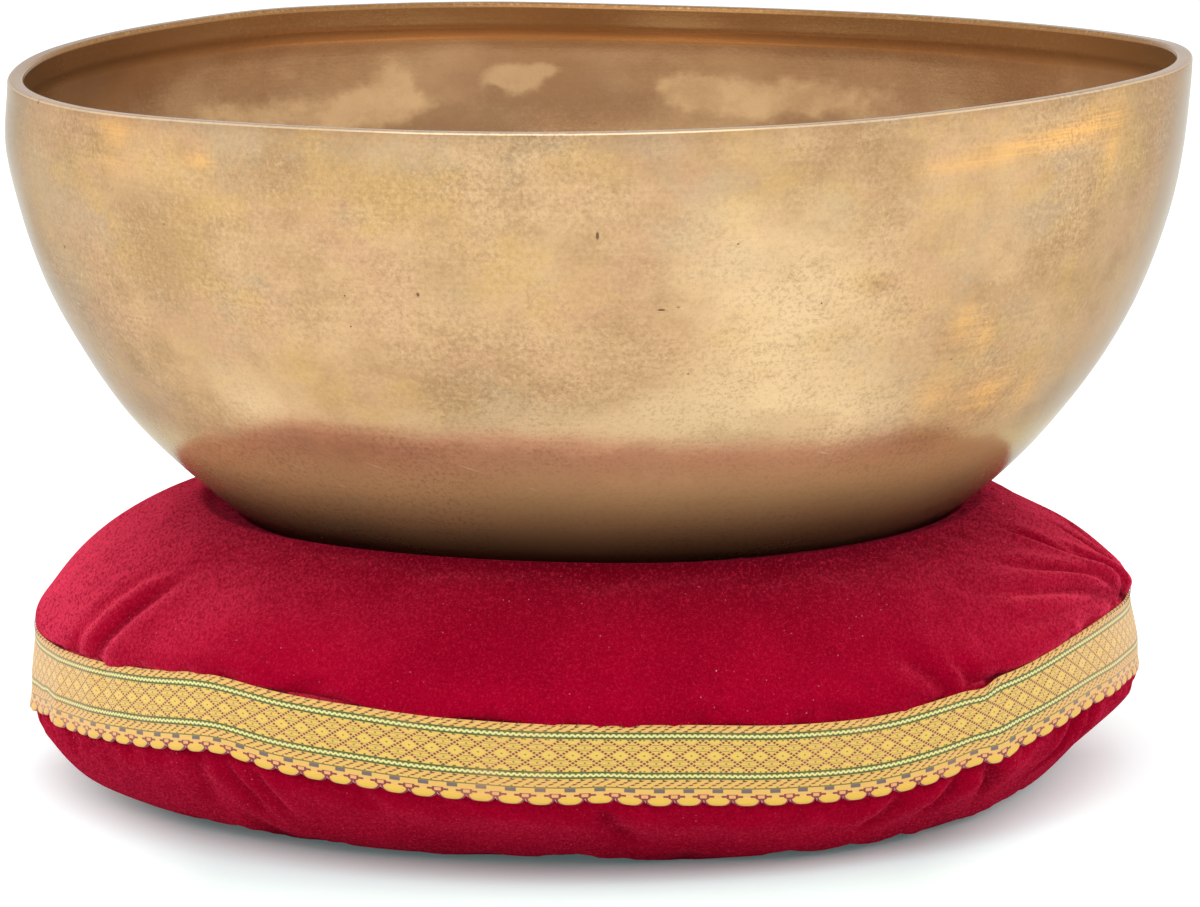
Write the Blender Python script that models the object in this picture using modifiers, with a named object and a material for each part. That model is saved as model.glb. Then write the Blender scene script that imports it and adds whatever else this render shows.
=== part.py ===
"""A singing bowl on its round velvet cushion.

The bowl is one hammered bronze shell, thickened at the lip and flattened underneath. The cushion is a velvet
cover of two panels that meet in a seam round the waist, with stuffing inside, a brocade ribbon sewn over the
seam and the threads that hold it. The bowl has pressed its shape into the cushion and lifts straight off.

Units are metres, +Z is up, the floor is z = 0 and the bowl's axis is the Z axis. The front faces -Y.
"""

import math

import bmesh
import bpy
import numpy as np

# Bowl
RIM_RADIUS = 0.150
BOWL_ROUND = 0.1414  # depth that the wall's ellipse would reach if the base were not flattened
BASE_RADIUS = 0.045  # flat of the underside
WALL_THICKNESS = 0.0023
LIP_THICKNESS = 0.0040
LIP_HEIGHT = 0.0075
LIP_STEP = 0.0022  # height over which the lip thins to the wall
RIM_EDGE = 0.0008  # eased edges of the rim
SEAT_HEIGHT = 0.0456  # underside of the bowl above the floor

# Cushion cover
CUSHION_RADIUS = 0.1402  # velvet at the waist
SEAM_HEIGHT = 0.0320
DOME_HEIGHT = 0.0338  # crown above the ribbon's top edge
DOME_FLAT_RADIUS = 0.070  # where the crown would level out
DOME_POWER = 1.75  # fullness of the crown's curve, 2 is an ellipse
FOOT_RADIUS = 0.112  # patch that rests on the floor
BELLY_POWER = 1.3  # fullness of the curve from the ribbon down to the floor
CREST_RUN = 0.0055  # half the width of the rolled edge round the bowl
VELVET_THICKNESS = 0.0014
HEM_WIDTH = 0.008  # seam allowance turned into the cushion

# How the cushion has settled
CUSHION_SHIFT = -0.0045  # middle of the cushion from the bowl's axis, along X
CROWN_TILT = 0.0019  # rise of the crown's edge on the -X side, and fall on the other
OVAL_WAVE = 0.0024  # rise and fall of the waist twice round
OVAL_PEAK = math.radians(-10)  # one of its high places, from +X towards +Y
LOBE_WAVE = 0.0039  # rise and fall of the waist three times round
LOBE_PEAK = math.radians(-4)

# Ribbon and threads
RIBBON_WIDTH = 0.0195
RIBBON_THICKNESS = 0.0006
SCALLOP_COUNT = 126
SCALLOP_DEPTH = 0.0020
LAP_SCALLOP_COUNT = 2  # length of the lapped ends
LAP_ANGLE = math.radians(90)  # the lap is at the back
SEAM_THREAD_RADIUS = 0.0004
STITCH_RADIUS = 0.0002
STITCH_BITE = 0.0005  # how far a stitch reaches onto the ribbon
STITCH_REACH = 0.0018  # how far the upper stitches reach onto the velvet
STITCH_HALF_WIDTH = 0.0006  # half the width of a lower stitch
STITCH_DROP = 0.0006  # how far the lower thread runs below the scallops
UPPER_STITCHES = 63
NOTCHES_PER_STITCH = 3  # the lower thread takes in one scallop notch in three

# Clearances
SEAT_CLEARANCE = 0.0003  # bowl to velvet
SEWN_CLEARANCE = 0.0003  # between pieces that are sewn onto each other
FILLING_CLEARANCE = 0.0006  # stuffing to velvet

# Facets
BOWL_SEGMENTS = 72
CUSHION_SEGMENTS = 45
WALL_POINTS = 11
CREST_POINTS = 2
DOME_POINTS = 4
BELLY_POINTS = 6

# Places that follow from the sizes above
RIM_HEIGHT = SEAT_HEIGHT + BOWL_ROUND * math.sqrt(1 - (BASE_RADIUS / RIM_RADIUS) ** 2)
RIBBON_TOP = SEAM_HEIGHT + RIBBON_WIDTH / 2
RIBBON_BOTTOM = SEAM_HEIGHT - RIBBON_WIDTH / 2
CROWN_HEIGHT = RIBBON_TOP + DOME_HEIGHT
COVER_DEPTH = VELVET_THICKNESS + FILLING_CLEARANCE
DENT_FLOOR = SEAT_HEIGHT - SEAT_CLEARANCE - COVER_DEPTH
RIBBON_RADIUS = CUSHION_RADIUS + SEWN_CLEARANCE
LAP_RISE = RIBBON_THICKNESS + SEWN_CLEARANCE
SCALLOP_ANGLE = math.tau / SCALLOP_COUNT
LAP_LENGTH = LAP_SCALLOP_COUNT * SCALLOP_ANGLE
STITCH_LIFT = SEWN_CLEARANCE + STITCH_RADIUS  # middle of a thread above what it lies on


def smooth(low, high, value):
    """0 up to low, 1 from high on, with an S-shaped rise between them."""
    share = np.clip((value - low) / (high - low), 0, 1)
    return share * share * (3 - 2 * share)


def wall_point(angle, radius, depth, outset=0.0):
    """A point (radius, height) of the bowl's elliptical wall, angle measured down from the rim."""
    across = np.array([math.cos(angle) / radius, -math.sin(angle) / depth])
    point = np.array([radius * math.cos(angle), RIM_HEIGHT - depth * math.sin(angle)])
    return point + outset * across / np.linalg.norm(across)


def wall_angles():
    """Angles of the rings down the outside of the bowl, the last at the edge of its flat base."""
    return np.linspace(0, math.acos(BASE_RADIUS / RIM_RADIUS), WALL_POINTS + 1)[1:]


def dome_height(radius):
    """Height of the cushion's crown at a radius."""
    share = max(0.0, radius - DOME_FLAT_RADIUS) / (CUSHION_RADIUS - DOME_FLAT_RADIUS)
    return RIBBON_TOP + DOME_HEIGHT * (1 - share**DOME_POWER) ** (1 / DOME_POWER)


def seat_point(angle):
    """The velvet under the bowl: the bowl's wall, set out by the clearance at the middle of each facet."""
    point = wall_point(angle, RIM_RADIUS, BOWL_ROUND, SEAT_CLEARANCE)
    return point / [math.cos(math.pi / CUSHION_SEGMENTS), 1]


def contact_angle():
    """Where the bowl's wall comes down onto the crown, found by halving."""
    low, high = 0.0, wall_angles()[-1]
    for _ in range(50):
        middle = (low + high) / 2
        radius, height = seat_point(middle)
        above = radius >= CUSHION_RADIUS or height > dome_height(radius)
        low, high = (middle, high) if above else (low, middle)
    return high


def hermite(start, start_slope, end, end_slope, count):
    """Points inside a smooth curve between two points with given directions."""
    t = np.arange(1, count + 1)[:, None] / (count + 1)
    return (
        (2 * t**3 - 3 * t**2 + 1) * start
        + (t**3 - 2 * t**2 + t) * start_slope
        + (3 * t**2 - 2 * t**3) * end
        + (t**3 - t**2) * end_slope
    )


def inset(outline, depth):
    """An outline of (radius, height) points moved to its right by a depth; points on the axis stay on it."""
    steps = np.diff(outline, axis=0)
    normals = np.stack([steps[:, 1], -steps[:, 0]], axis=1)
    normals /= np.linalg.norm(normals, axis=1)[:, None]
    before = np.vstack([normals[:1], normals])
    after = np.vstack([normals, normals[-1:]])
    mitre = before + after
    mitre /= (mitre * before).sum(axis=1)[:, None]
    moved = outline + depth * mitre
    moved[outline[:, 0] == 0, 0] = 0
    return moved


def bowl_outline():
    """From the middle of the bowl's floor up the inside, over the lip and down to the underside."""
    inner_radius = RIM_RADIUS - WALL_THICKNESS
    inner_depth = BOWL_ROUND - WALL_THICKNESS
    floor = SEAT_HEIGHT + WALL_THICKNESS
    lip_end = math.asin((LIP_HEIGHT + LIP_STEP) / inner_depth)
    floor_edge = math.asin((RIM_HEIGHT - floor) / inner_depth)
    inner_angles = np.linspace(floor_edge, lip_end, WALL_POINTS)
    inside = [wall_point(a, inner_radius, inner_depth) for a in inner_angles]
    lip_radius = RIM_RADIUS - LIP_THICKNESS
    lip = [(lip_radius, RIM_HEIGHT - LIP_HEIGHT)]
    for corner, start in ((lip_radius + RIM_EDGE, math.pi), (RIM_RADIUS - RIM_EDGE, math.pi / 2)):
        for a in np.linspace(start, start - math.pi / 2, 3):
            lip.append((corner + RIM_EDGE * math.cos(a), RIM_HEIGHT - RIM_EDGE + RIM_EDGE * math.sin(a)))
    outside = [wall_point(a, RIM_RADIUS, BOWL_ROUND) for a in wall_angles()]
    return np.vstack([(0, floor), inside, lip, outside, (0, SEAT_HEIGHT)])


def cover_top():
    """Outside of the upper velvet: the bowl's dent, the rolled crest, the crown and the ribbon's band."""
    contact = contact_angle()
    rings = wall_angles()
    run_per_radian = math.hypot(RIM_RADIUS * math.sin(contact), BOWL_ROUND * math.cos(contact))
    crest_angle = contact + CREST_RUN / run_per_radian
    under = rings[rings > crest_angle + rings[0] / 2][::-1]
    dent = [seat_point(a) for a in (*under, crest_angle)]
    crest_start = dent[-1]
    up_the_bowl = seat_point(contact) - crest_start
    crest_end_radius = seat_point(contact)[0] + CREST_RUN
    crest_end = np.array([crest_end_radius, dome_height(crest_end_radius)])
    down_the_dome = np.array([CREST_RUN, dome_height(crest_end_radius + CREST_RUN) - crest_end[1]])
    reach = np.linalg.norm(crest_end - crest_start)
    crest = hermite(
        crest_start,
        reach * up_the_bowl / np.linalg.norm(up_the_bowl),
        crest_end,
        reach * down_the_dome / np.linalg.norm(down_the_dome),
        CREST_POINTS,
    )
    first = math.acos((crest_end_radius - DOME_FLAT_RADIUS) / (CUSHION_RADIUS - DOME_FLAT_RADIUS))
    dome = [crest_end]
    for a in np.linspace(first, 0, DOME_POINTS + 1)[1:]:
        radius = DOME_FLAT_RADIUS + (CUSHION_RADIUS - DOME_FLAT_RADIUS) * math.cos(a)
        dome.append((radius, dome_height(radius)))
    fold = (CUSHION_RADIUS, SEAM_HEIGHT + SEWN_CLEARANCE / 2 + VELVET_THICKNESS)
    return np.vstack([(0, dent[0][1]), dent, crest, dome, fold])


def cover_bottom():
    """Outside of the lower velvet: the band under the ribbon, the belly and the flat foot."""
    fold = (CUSHION_RADIUS, SEAM_HEIGHT - SEWN_CLEARANCE / 2 - VELVET_THICKNESS)
    belly = []
    for a in np.linspace(0, math.pi / 2, BELLY_POINTS):
        down = math.sin(a)
        out = (1 - down**BELLY_POWER) ** (1 / BELLY_POWER)
        belly.append((FOOT_RADIUS + (CUSHION_RADIUS - FOOT_RADIUS) * out, RIBBON_BOTTOM * (1 - down)))
    return np.vstack([fold, belly, (0, 0)])


def top_panel_outline():
    """The upper velvet with its thickness and its seam allowance turned in."""
    outside = cover_top()
    seam = SEAM_HEIGHT + SEWN_CLEARANCE / 2
    hem = [
        (CUSHION_RADIUS - VELVET_THICKNESS, seam),
        (CUSHION_RADIUS - HEM_WIDTH, seam),
        (CUSHION_RADIUS - HEM_WIDTH, seam + VELVET_THICKNESS),
    ]
    return np.vstack([outside, hem, inset(outside, VELVET_THICKNESS)[::-1]])


def bottom_panel_outline():
    """The lower velvet with its thickness and its seam allowance turned in."""
    outside = cover_bottom()
    seam = SEAM_HEIGHT - SEWN_CLEARANCE / 2
    hem = [
        (CUSHION_RADIUS - HEM_WIDTH, seam - VELVET_THICKNESS),
        (CUSHION_RADIUS - HEM_WIDTH, seam),
        (CUSHION_RADIUS - VELVET_THICKNESS, seam),
    ]
    return np.vstack([inset(outside, VELVET_THICKNESS)[::-1], hem, outside])


def filling_outline():
    """The stuffing: inside both panels, with a groove round the waist for the turned seam allowance."""
    above = inset(cover_top(), COVER_DEPTH)
    below = inset(cover_bottom(), COVER_DEPTH)
    side = CUSHION_RADIUS - COVER_DEPTH
    groove = CUSHION_RADIUS - HEM_WIDTH - FILLING_CLEARANCE
    reach = SEWN_CLEARANCE / 2 + COVER_DEPTH
    waist = [
        (side, SEAM_HEIGHT + reach),
        (groove, SEAM_HEIGHT + reach),
        (groove, SEAM_HEIGHT - reach),
        (side, SEAM_HEIGHT - reach),
    ]
    return np.vstack([above[:-1], waist, below[1:]])


def settle(points):
    """Moves points of the evenly turned cushion to where it has settled: aside, tilted, with a wavy waist.

    The dent stays on the bowl's axis and the foot stays flat on the floor.
    """
    x, y, z = np.asarray(points, float).T
    radius = np.hypot(x, y)
    angle = np.arctan2(y, x)
    contact_radius = seat_point(contact_angle())[0]
    crest_radius = contact_radius + CREST_RUN
    free = smooth(crest_radius, CUSHION_RADIUS, radius)
    low = 1 - smooth(RIBBON_BOTTOM, DENT_FLOOR, z)
    shift = 1 - (1 - free) * (1 - low)
    wave = free * smooth(0, RIBBON_BOTTOM, z) * (1 - smooth(RIBBON_TOP, CROWN_HEIGHT, z))
    rise = OVAL_WAVE * np.cos(2 * (angle - OVAL_PEAK)) + LOBE_WAVE * np.cos(3 * (angle - LOBE_PEAK))
    crown = smooth(contact_radius, crest_radius, radius) * (1 - free) * (1 - low)
    tilt = -CROWN_TILT * np.cos(angle)
    return np.stack([x + CUSHION_SHIFT * shift, y, z + rise * wave + tilt * crown], axis=1)


def around(angle, radius, height):
    """Points from angles round the axis, radii and heights."""
    angle, radius, height = np.broadcast_arrays(angle, radius, height)
    return np.stack([radius * np.cos(angle), radius * np.sin(angle), height], axis=-1)


def lap_lift(turn):
    """How far the ribbon stands off at an angle along it, as it climbs onto its own first end."""
    return LAP_RISE * smooth(math.tau - 2 * LAP_LENGTH, math.tau - LAP_LENGTH / 2, turn)


def thread_lift(turn):
    """The ribbon's outermost layer at an angle within one turn: its second end covers its first."""
    return lap_lift(np.where(turn < LAP_LENGTH, turn + math.tau, turn))


def finish(name, colour, roughness, metallic):
    """A plain finish for one piece."""
    material = bpy.data.materials.new(name)
    material.use_nodes = True
    shader = material.node_tree.nodes["Principled BSDF"]
    shader.inputs["Base Color"].default_value = (*colour, 1)
    shader.inputs["Roughness"].default_value = roughness
    shader.inputs["Metallic"].default_value = metallic
    return material


def add_piece(name, data, material, parent):
    """Puts mesh or curve data into the object's collection under its body."""
    piece = bpy.data.objects.new(name, data)
    piece.data.materials.append(material)
    piece.parent = parent
    bpy.data.collections["singing_bowl"].objects.link(piece)
    return piece


def add_body(name, height):
    """An empty on the bowl's axis that carries the pieces of one body."""
    body = bpy.data.objects.new(name, None)
    body.location.z = height
    bpy.data.collections["singing_bowl"].objects.link(body)
    return body


def turned(name, outline, segments, material, parent):
    """A piece turned from an outline round the Z axis."""
    mesh = bpy.data.meshes.new(name)
    links = [(i, i + 1) for i in range(len(outline) - 1)]
    mesh.from_pydata([(radius, 0, height) for radius, height in outline], links, [])
    piece = add_piece(name, mesh, material, parent)
    screw = piece.modifiers.new("Turn", "SCREW")
    screw.steps = screw.render_steps = segments
    screw.use_merge_vertices = True
    screw.merge_threshold = 0.00001
    return piece


def settled(piece):
    """Applies a turned cushion piece and lets it settle."""
    bpy.context.view_layer.update()
    mesh = bpy.data.meshes.new_from_object(piece.evaluated_get(bpy.context.evaluated_depsgraph_get()))
    piece.modifiers.clear()
    piece.data = mesh
    points = np.empty(len(mesh.vertices) * 3)
    mesh.vertices.foreach_get("co", points)
    mesh.vertices.foreach_set("co", settle(points.reshape(-1, 3)).ravel())
    mesh.shade_smooth()
    mesh.set_sharp_from_angle(angle=math.radians(50))
    return piece


def add_ribbon(material, parent):
    """A flat strip with a scalloped lower edge, laid round the waist and lapped over itself at the back."""
    columns = 2 * (SCALLOP_COUNT + LAP_SCALLOP_COUNT)
    strip = bmesh.new()
    bmesh.ops.create_grid(strip, x_segments=columns, y_segments=1, size=1)
    flat = np.array([vertex.co for vertex in strip.verts])
    column = np.round((flat[:, 0] + 1) / 2 * columns)
    turn = column * SCALLOP_ANGLE / 2
    lower = RIBBON_BOTTOM + SCALLOP_DEPTH * (column % 2 == 0)
    height = np.where(flat[:, 1] > 0, RIBBON_TOP, lower)
    places = settle(around(turn + LAP_ANGLE, RIBBON_RADIUS + lap_lift(turn), height))
    for vertex, place in zip(strip.verts, places):
        vertex.co = place
    mesh = bpy.data.meshes.new("brocade_ribbon")
    strip.to_mesh(mesh)
    strip.free()
    ribbon = add_piece("brocade_ribbon", mesh, material, parent)
    weave = ribbon.modifiers.new("Thickness", "SOLIDIFY")
    weave.thickness = RIBBON_THICKNESS
    weave.offset = 1
    weave.use_even_offset = True
    return ribbon


def add_thread(name, route, radius, material, parent):
    """A thread as one closed tube along a route round the waist."""
    curve = bpy.data.curves.new(name, "CURVE")
    curve.dimensions = "3D"
    curve.bevel_depth = radius
    curve.bevel_resolution = 0
    curve.use_fill_caps = True
    spline = curve.splines.new("POLY")
    spline.points.add(len(route) - 1)
    spline.points.foreach_set("co", np.column_stack([settle(route), np.ones(len(route))]).ravel())
    spline.use_cyclic_u = True
    return add_piece(name, curve, material, parent)


def seam_route():
    """The seam's thread lies in the fold between the two panels, clear of both."""
    inward = VELVET_THICKNESS - math.sqrt(2) * (SEAM_THREAD_RADIUS + SEWN_CLEARANCE) + SEWN_CLEARANCE / 2
    turn = np.arange(CUSHION_SEGMENTS) * math.tau / CUSHION_SEGMENTS
    return around(turn, CUSHION_RADIUS - inward, SEAM_HEIGHT)


def bite_radius(share):
    """Radius of a stitch on the ribbon that clears the ribbon's edge, with that share of it on the ribbon."""
    edge = RIBBON_RADIUS + RIBBON_THICKNESS + STITCH_LIFT
    velvet = CUSHION_RADIUS + STITCH_LIFT
    return (edge - share * velvet) / (1 - share)


def upper_stitch_route():
    """Whip stitches over the ribbon's upper edge: on the ribbon and on the velvet by turns."""
    turn = (np.arange(2 * UPPER_STITCHES) + 0.5) * math.pi / UPPER_STITCHES
    on_ribbon = np.arange(2 * UPPER_STITCHES) % 2 == 0
    bite = bite_radius(STITCH_BITE / (STITCH_BITE + STITCH_REACH))
    radius = np.where(on_ribbon, bite, CUSHION_RADIUS + STITCH_LIFT)
    height = RIBBON_TOP + np.where(on_ribbon, -STITCH_BITE, STITCH_REACH)
    return around(turn + LAP_ANGLE, radius + thread_lift(turn), height)


def lower_stitch_route():
    """Blanket stitches: a thread below the scallops that climbs through a notch onto the ribbon and back."""
    stitches = SCALLOP_COUNT // NOTCHES_PER_STITCH
    notch = (np.arange(stitches) * NOTCHES_PER_STITCH + 1) * SCALLOP_ANGLE
    half = STITCH_HALF_WIDTH / CUSHION_RADIUS
    turn = (notch[:, None] + [-half, -half, half, half]).ravel()
    lift = np.repeat(thread_lift(notch), 4)
    on_ribbon = np.tile([False, True, True, False], stitches)
    reach = SCALLOP_DEPTH + STITCH_DROP + STITCH_RADIUS
    bite = bite_radius(STITCH_BITE / (STITCH_BITE + reach))
    radius = np.where(on_ribbon, bite, CUSHION_RADIUS + STITCH_LIFT)
    height = RIBBON_BOTTOM + SCALLOP_DEPTH + np.where(on_ribbon, STITCH_BITE, -reach)
    return around(turn + LAP_ANGLE, radius + lift, height)


def clear_scene():
    for thing in list(bpy.data.objects):
        bpy.data.objects.remove(thing)


def main():
    clear_scene()
    bpy.context.scene.collection.children.link(bpy.data.collections.new("singing_bowl"))

    bronze = finish("hammered_bronze", (0.58, 0.39, 0.19), 0.36, 1.0)
    velvet = finish("crimson_velvet", (0.36, 0.006, 0.035), 0.9, 0.0)
    lining = finish("crimson_velvet_underside", (0.30, 0.005, 0.03), 0.9, 0.0)
    stuffing = finish("cotton_stuffing", (0.75, 0.70, 0.60), 1.0, 0.0)
    brocade = finish("gold_brocade", (0.72, 0.46, 0.13), 0.6, 0.0)
    seam_thread = finish("crimson_thread", (0.25, 0.01, 0.03), 0.8, 0.0)
    dark_thread = finish("maroon_thread", (0.10, 0.02, 0.02), 0.8, 0.0)
    pale_thread = finish("pale_thread", (0.80, 0.60, 0.50), 0.8, 0.0)

    bowl_body = add_body("bowl_body", SEAT_HEIGHT)
    cushion_body = add_body("cushion_body", 0)

    rising = bowl_outline() - [0, SEAT_HEIGHT]
    bowl = turned("bowl", rising, BOWL_SEGMENTS, bronze, bowl_body)
    bowl.modifiers["Turn"].use_smooth_shade = True

    for name, outline, material in (
        ("cushion_top_panel", top_panel_outline(), velvet),
        ("cushion_bottom_panel", bottom_panel_outline(), lining),
        ("cushion_filling", filling_outline(), stuffing),
    ):
        settled(turned(name, outline, CUSHION_SEGMENTS, material, cushion_body))

    add_ribbon(brocade, cushion_body)
    for name, route, radius, material in (
        ("waist_seam_thread", seam_route(), SEAM_THREAD_RADIUS, seam_thread),
        ("ribbon_upper_thread", upper_stitch_route(), STITCH_RADIUS, dark_thread),
        ("ribbon_lower_thread", lower_stitch_route(), STITCH_RADIUS, pale_thread),
    ):
        add_thread(name, route, radius, material, cushion_body)


main()
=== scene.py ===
"""Singing bowl on a velvet cushion: an add-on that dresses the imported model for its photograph.

A white floor, soft light and the photograph's camera complete the scene. Lengths are in metres, and angles go
round the bowl's axis from +X towards +Y, so the front is at -90 degrees.
"""

import math

import bpy
import numpy as np
from bpy.props import FloatProperty, FloatVectorProperty, IntProperty, PointerProperty
from mathutils import Matrix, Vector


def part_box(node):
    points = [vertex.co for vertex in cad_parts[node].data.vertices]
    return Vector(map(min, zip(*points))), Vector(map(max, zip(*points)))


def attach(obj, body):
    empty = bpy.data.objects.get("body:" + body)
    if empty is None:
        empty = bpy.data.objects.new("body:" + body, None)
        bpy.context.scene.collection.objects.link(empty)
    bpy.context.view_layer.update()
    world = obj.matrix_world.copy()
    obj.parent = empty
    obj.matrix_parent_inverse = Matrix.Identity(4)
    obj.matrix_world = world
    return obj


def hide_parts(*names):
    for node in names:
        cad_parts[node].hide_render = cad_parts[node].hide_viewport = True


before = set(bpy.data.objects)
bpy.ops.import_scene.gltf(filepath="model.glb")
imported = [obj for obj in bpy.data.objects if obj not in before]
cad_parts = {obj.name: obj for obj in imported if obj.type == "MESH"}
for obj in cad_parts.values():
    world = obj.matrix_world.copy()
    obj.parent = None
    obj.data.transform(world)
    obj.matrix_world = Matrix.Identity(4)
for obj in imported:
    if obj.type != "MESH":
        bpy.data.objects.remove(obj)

bl_info = {
    "name": "Singing bowl",
    "version": (1, 0, 0),
    "blender": (4, 5, 0),
    "location": "3D View > Sidebar > Bowl",
    "description": "Dresses the packed singing bowl and its cushion for the photograph",
    "category": "Object",
}

BOWL_LOW, BOWL_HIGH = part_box("bowl")

# Height of the bowl's rim above its even circle, in millimetres, at angles in degrees
RIM_WAVE = (
    (-170, -1.2),
    (-150, -1.2),
    (-125, -0.2),
    (-90, -0.2),
    (-65, 0.3),
    (-48, 1.2),
    (-32, 1.6),
    (-15, 1.2),
    (5, 0.7),
    (22, -0.8),
    (39, -1.7),
    (55, -1.9),
    (72, -1.7),
    (88, -0.8),
    (100, 0.4),
    (115, 1.4),
    (126, 1.9),
    (140, 1.2),
    (158, 0.2),
)

# Bulges and hollows in the bowl's wall: angle in degrees and height in millimetres of the middle, then width
# in degrees, height and swelling in millimetres
DINGS = (
    (-92, 84, 26, 13, 0.40),
    (-68, 86, 12, 12, 0.25),
    (-116, 84, 10, 10, 0.22),
    (-129, 96, 6, 8, -0.22),
    (-138, 90, 5, 7, 0.22),
    (-104, 100, 7, 7, -0.14),
    (-78, 98, 6, 6, 0.12),
    (-52, 94, 7, 8, -0.18),
    (-97, 140, 14, 14, -0.15),
    (-70, 150, 12, 12, 0.15),
    (60, 110, 14, 12, 0.25),
    (150, 100, 12, 12, -0.20),
)

# How far the wall turns in towards the rim, in millimetres, at angles in degrees
RIM_TURN = (
    (-180, -2.2),
    (-160, -1.4),
    (-130, -0.3),
    (-60, 0.0),
    (0, 0.3),
    (60, 0.0),
    (130, -0.3),
    (160, -1.4),
)

# Height of the cushion's waist above its even circle, in millimetres, at angles in degrees
WAIST_WAVE = (
    (-180, -1.9),
    (-160, -0.6),
    (-150, 0.5),
    (-140, 2.0),
    (-130, 3.8),
    (-120, 1.6),
    (-110, -0.3),
    (-100, -2.0),
    (-90, -2.7),
    (-80, -3.5),
    (-70, -5.1),
    (-60, -5.4),
    (-50, -3.0),
    (-40, 0.2),
    (-30, 3.6),
    (-20, 4.6),
    (-8, 3.8),
    (5, 2.8),
    (25, 1.0),
    (55, -3.5),
    (90, 0.5),
    (115, 2.5),
    (150, -2.5),
)

# How much wider the cushion rests on the floor than its even foot, in millimetres, at angles in degrees
FOOT_WAVE = (
    (-180, 4.0),
    (-160, 4.0),
    (-140, 0.0),
    (-120, -3.0),
    (-100, -3.0),
    (-80, 2.5),
    (-60, 8.5),
    (-40, 4.0),
    (-20, 0.0),
    (0, -1.0),
    (60, 2.0),
    (120, -2.0),
)

# How far the cushion leans in from the middle of its ribbon upwards, in millimetres, at angles in degrees
LEAN = (
    (-180, 1.2),
    (-160, 0.8),
    (-130, 0.0),
    (-60, 0.0),
    (-35, 0.65),
    (-15, 1.75),
    (5, 2.1),
    (30, 1.2),
    (70, 0.0),
    (150, 0.4),
)

# Full and hollow places of the cushion, given as for the bowl's wall
LUMPS = (
    (-3, 60, 35, 10, -1.5),
    (-172, 10, 30, 8, 2.2),
    (-28, 6, 18, 6, -1.6),
    (-6, 17, 25, 5, 1.0),
    (90, 58, 40, 12, 0.8),
)

# Folds in the velvet: angle in degrees and height in millimetres of both ends, then width and depth in
# millimetres
FOLDS = (
    (-154, 44, -150.5, 57, 3.4, 1.1),
    (-149, 42, -145, 57, 4.2, 2.2),
    (-9.5, 42, -13, 63, 1.8, 1.9),
    (-10, 42, -20, 66, 2.1, 2.4),
    (-10.5, 42, -27, 63, 2.4, 2.3),
    (-11.5, 42, -34, 58, 3.0, 2.2),
    (-12.5, 42, -37, 51, 3.4, 1.5),
    (-8, 42, -3, 64, 2.2, 1.9),
    (-6, 42, 8, 63, 2.6, 1.6),
    (-47.5, 42, -50, 50, 2.4, 1.2),
    (-50.5, 42, -56, 53, 3.0, 1.3),
    (-128, 21, -126.5, 9, 2.4, 1.6),
    (-124.8, 21, -123.5, 10, 2.2, 1.5),
    (-132, 21, -134, 10, 2.6, 1.0),
    (-88.5, 20, -85.5, 9, 3.4, 1.6),
    (-45.5, 21, -42.5, 10, 3.0, 2.8),
    (-50, 21, -52, 10, 2.8, 2.0),
    (-57, 20, -60, 10, 2.8, 1.6),
    (-30, 22, -33, 9, 2.0, 2.0),
    (-26, 23, -28, 10, 1.8, 1.6),
    (60, 42, 66, 58, 2.6, 1.4),
    (118, 43, 112, 57, 2.6, 1.4),
    (95, 19, 92, 6, 2.6, 1.2),
    (150, 18, 146, 6, 2.6, 1.2),
)

# Greatest height that folds which meet may reach together
FOLD_LIMIT = 0.0030

# Buckles in the ribbon: angle and width in degrees, then how far the upper and the lower edge stand off, and
# how far they rise, in millimetres
BUCKLES = (
    (-47, 1.6, 0.7, 0.1, -0.7, 0.0),
    (-44.5, 2.0, -0.1, 0.6, 0.3, -0.9),
    (-48.5, 1.8, 0.0, 0.5, 0.0, 0.8),
    (-158, 1.2, 0.2, 0.9, 0.0, 0.2),
    (-162, 1.6, 0.0, -0.2, 0.0, 1.2),
    (-149.5, 1.6, 0.6, 0.4, 0.1, 0.0),
    (-146.5, 1.2, -0.5, -0.3, -0.3, 0.0),
    (-143.5, 1.8, 0.4, 0.2, 0.1, 0.2),
    (-170, 2.0, 0.0, 0.8, 0.0, -0.8),
    (-128, 3.0, 0.3, 0.6, 0.2, 0.8),
    (-112, 3.0, 0.3, 0.4, 0.2, 0.2),
    (-100, 3.5, 0.3, 0.2, 0.2, 0.3),
    (-88, 2.4, 0.2, 0.6, 0.1, 0.8),
    (-70, 3.5, 0.2, 0.4, 0.0, 0.3),
    (-54, 3.0, 0.4, 0.6, 0.2, 0.0),
    (-22, 3.0, 0.3, 0.3, 0.3, 0.0),
    (25, 3.0, 0.5, 0.4, 0.3, 0.2),
    (75, 3.0, 0.6, 0.5, 0.3, 0.2),
    (140, 3.0, 0.6, 0.3, 0.2, 0.3),
)

# Marks on the bowl are given as the angle in degrees from the front, the height above the floor, half the
# width and half the height in millimetres, and the strength. Orange stains on the outside:
STAINS = (
    (33, 168.2, 9, 2.2, 0.35),
    (38, 169.6, 9, 2.6, 0.6),
    (43, 171.0, 9, 2.4, 0.75),
    (48, 172.4, 9, 2.8, 0.8),
    (53, 174.0, 8, 4.0, 0.85),
    (57, 173.6, 6, 4.5, 0.6),
    (56, 165.5, 3, 4, 0.6),
    (38.5, 129, 5, 5, 0.5),
    (42, 125, 4, 4, 0.5),
    (37.5, 112, 7, 6, 0.55),
    (46, 108, 9, 6, 0.8),
    (54, 108, 6, 5, 0.5),
    (-50, 176, 8, 3, 0.6),
    (-39, 171, 5, 1.8, 0.7),
    (-50, 169, 9, 4, 0.35),
    (150, 120, 30, 14, 0.5),
    (-140, 100, 26, 12, 0.5),
)

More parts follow.
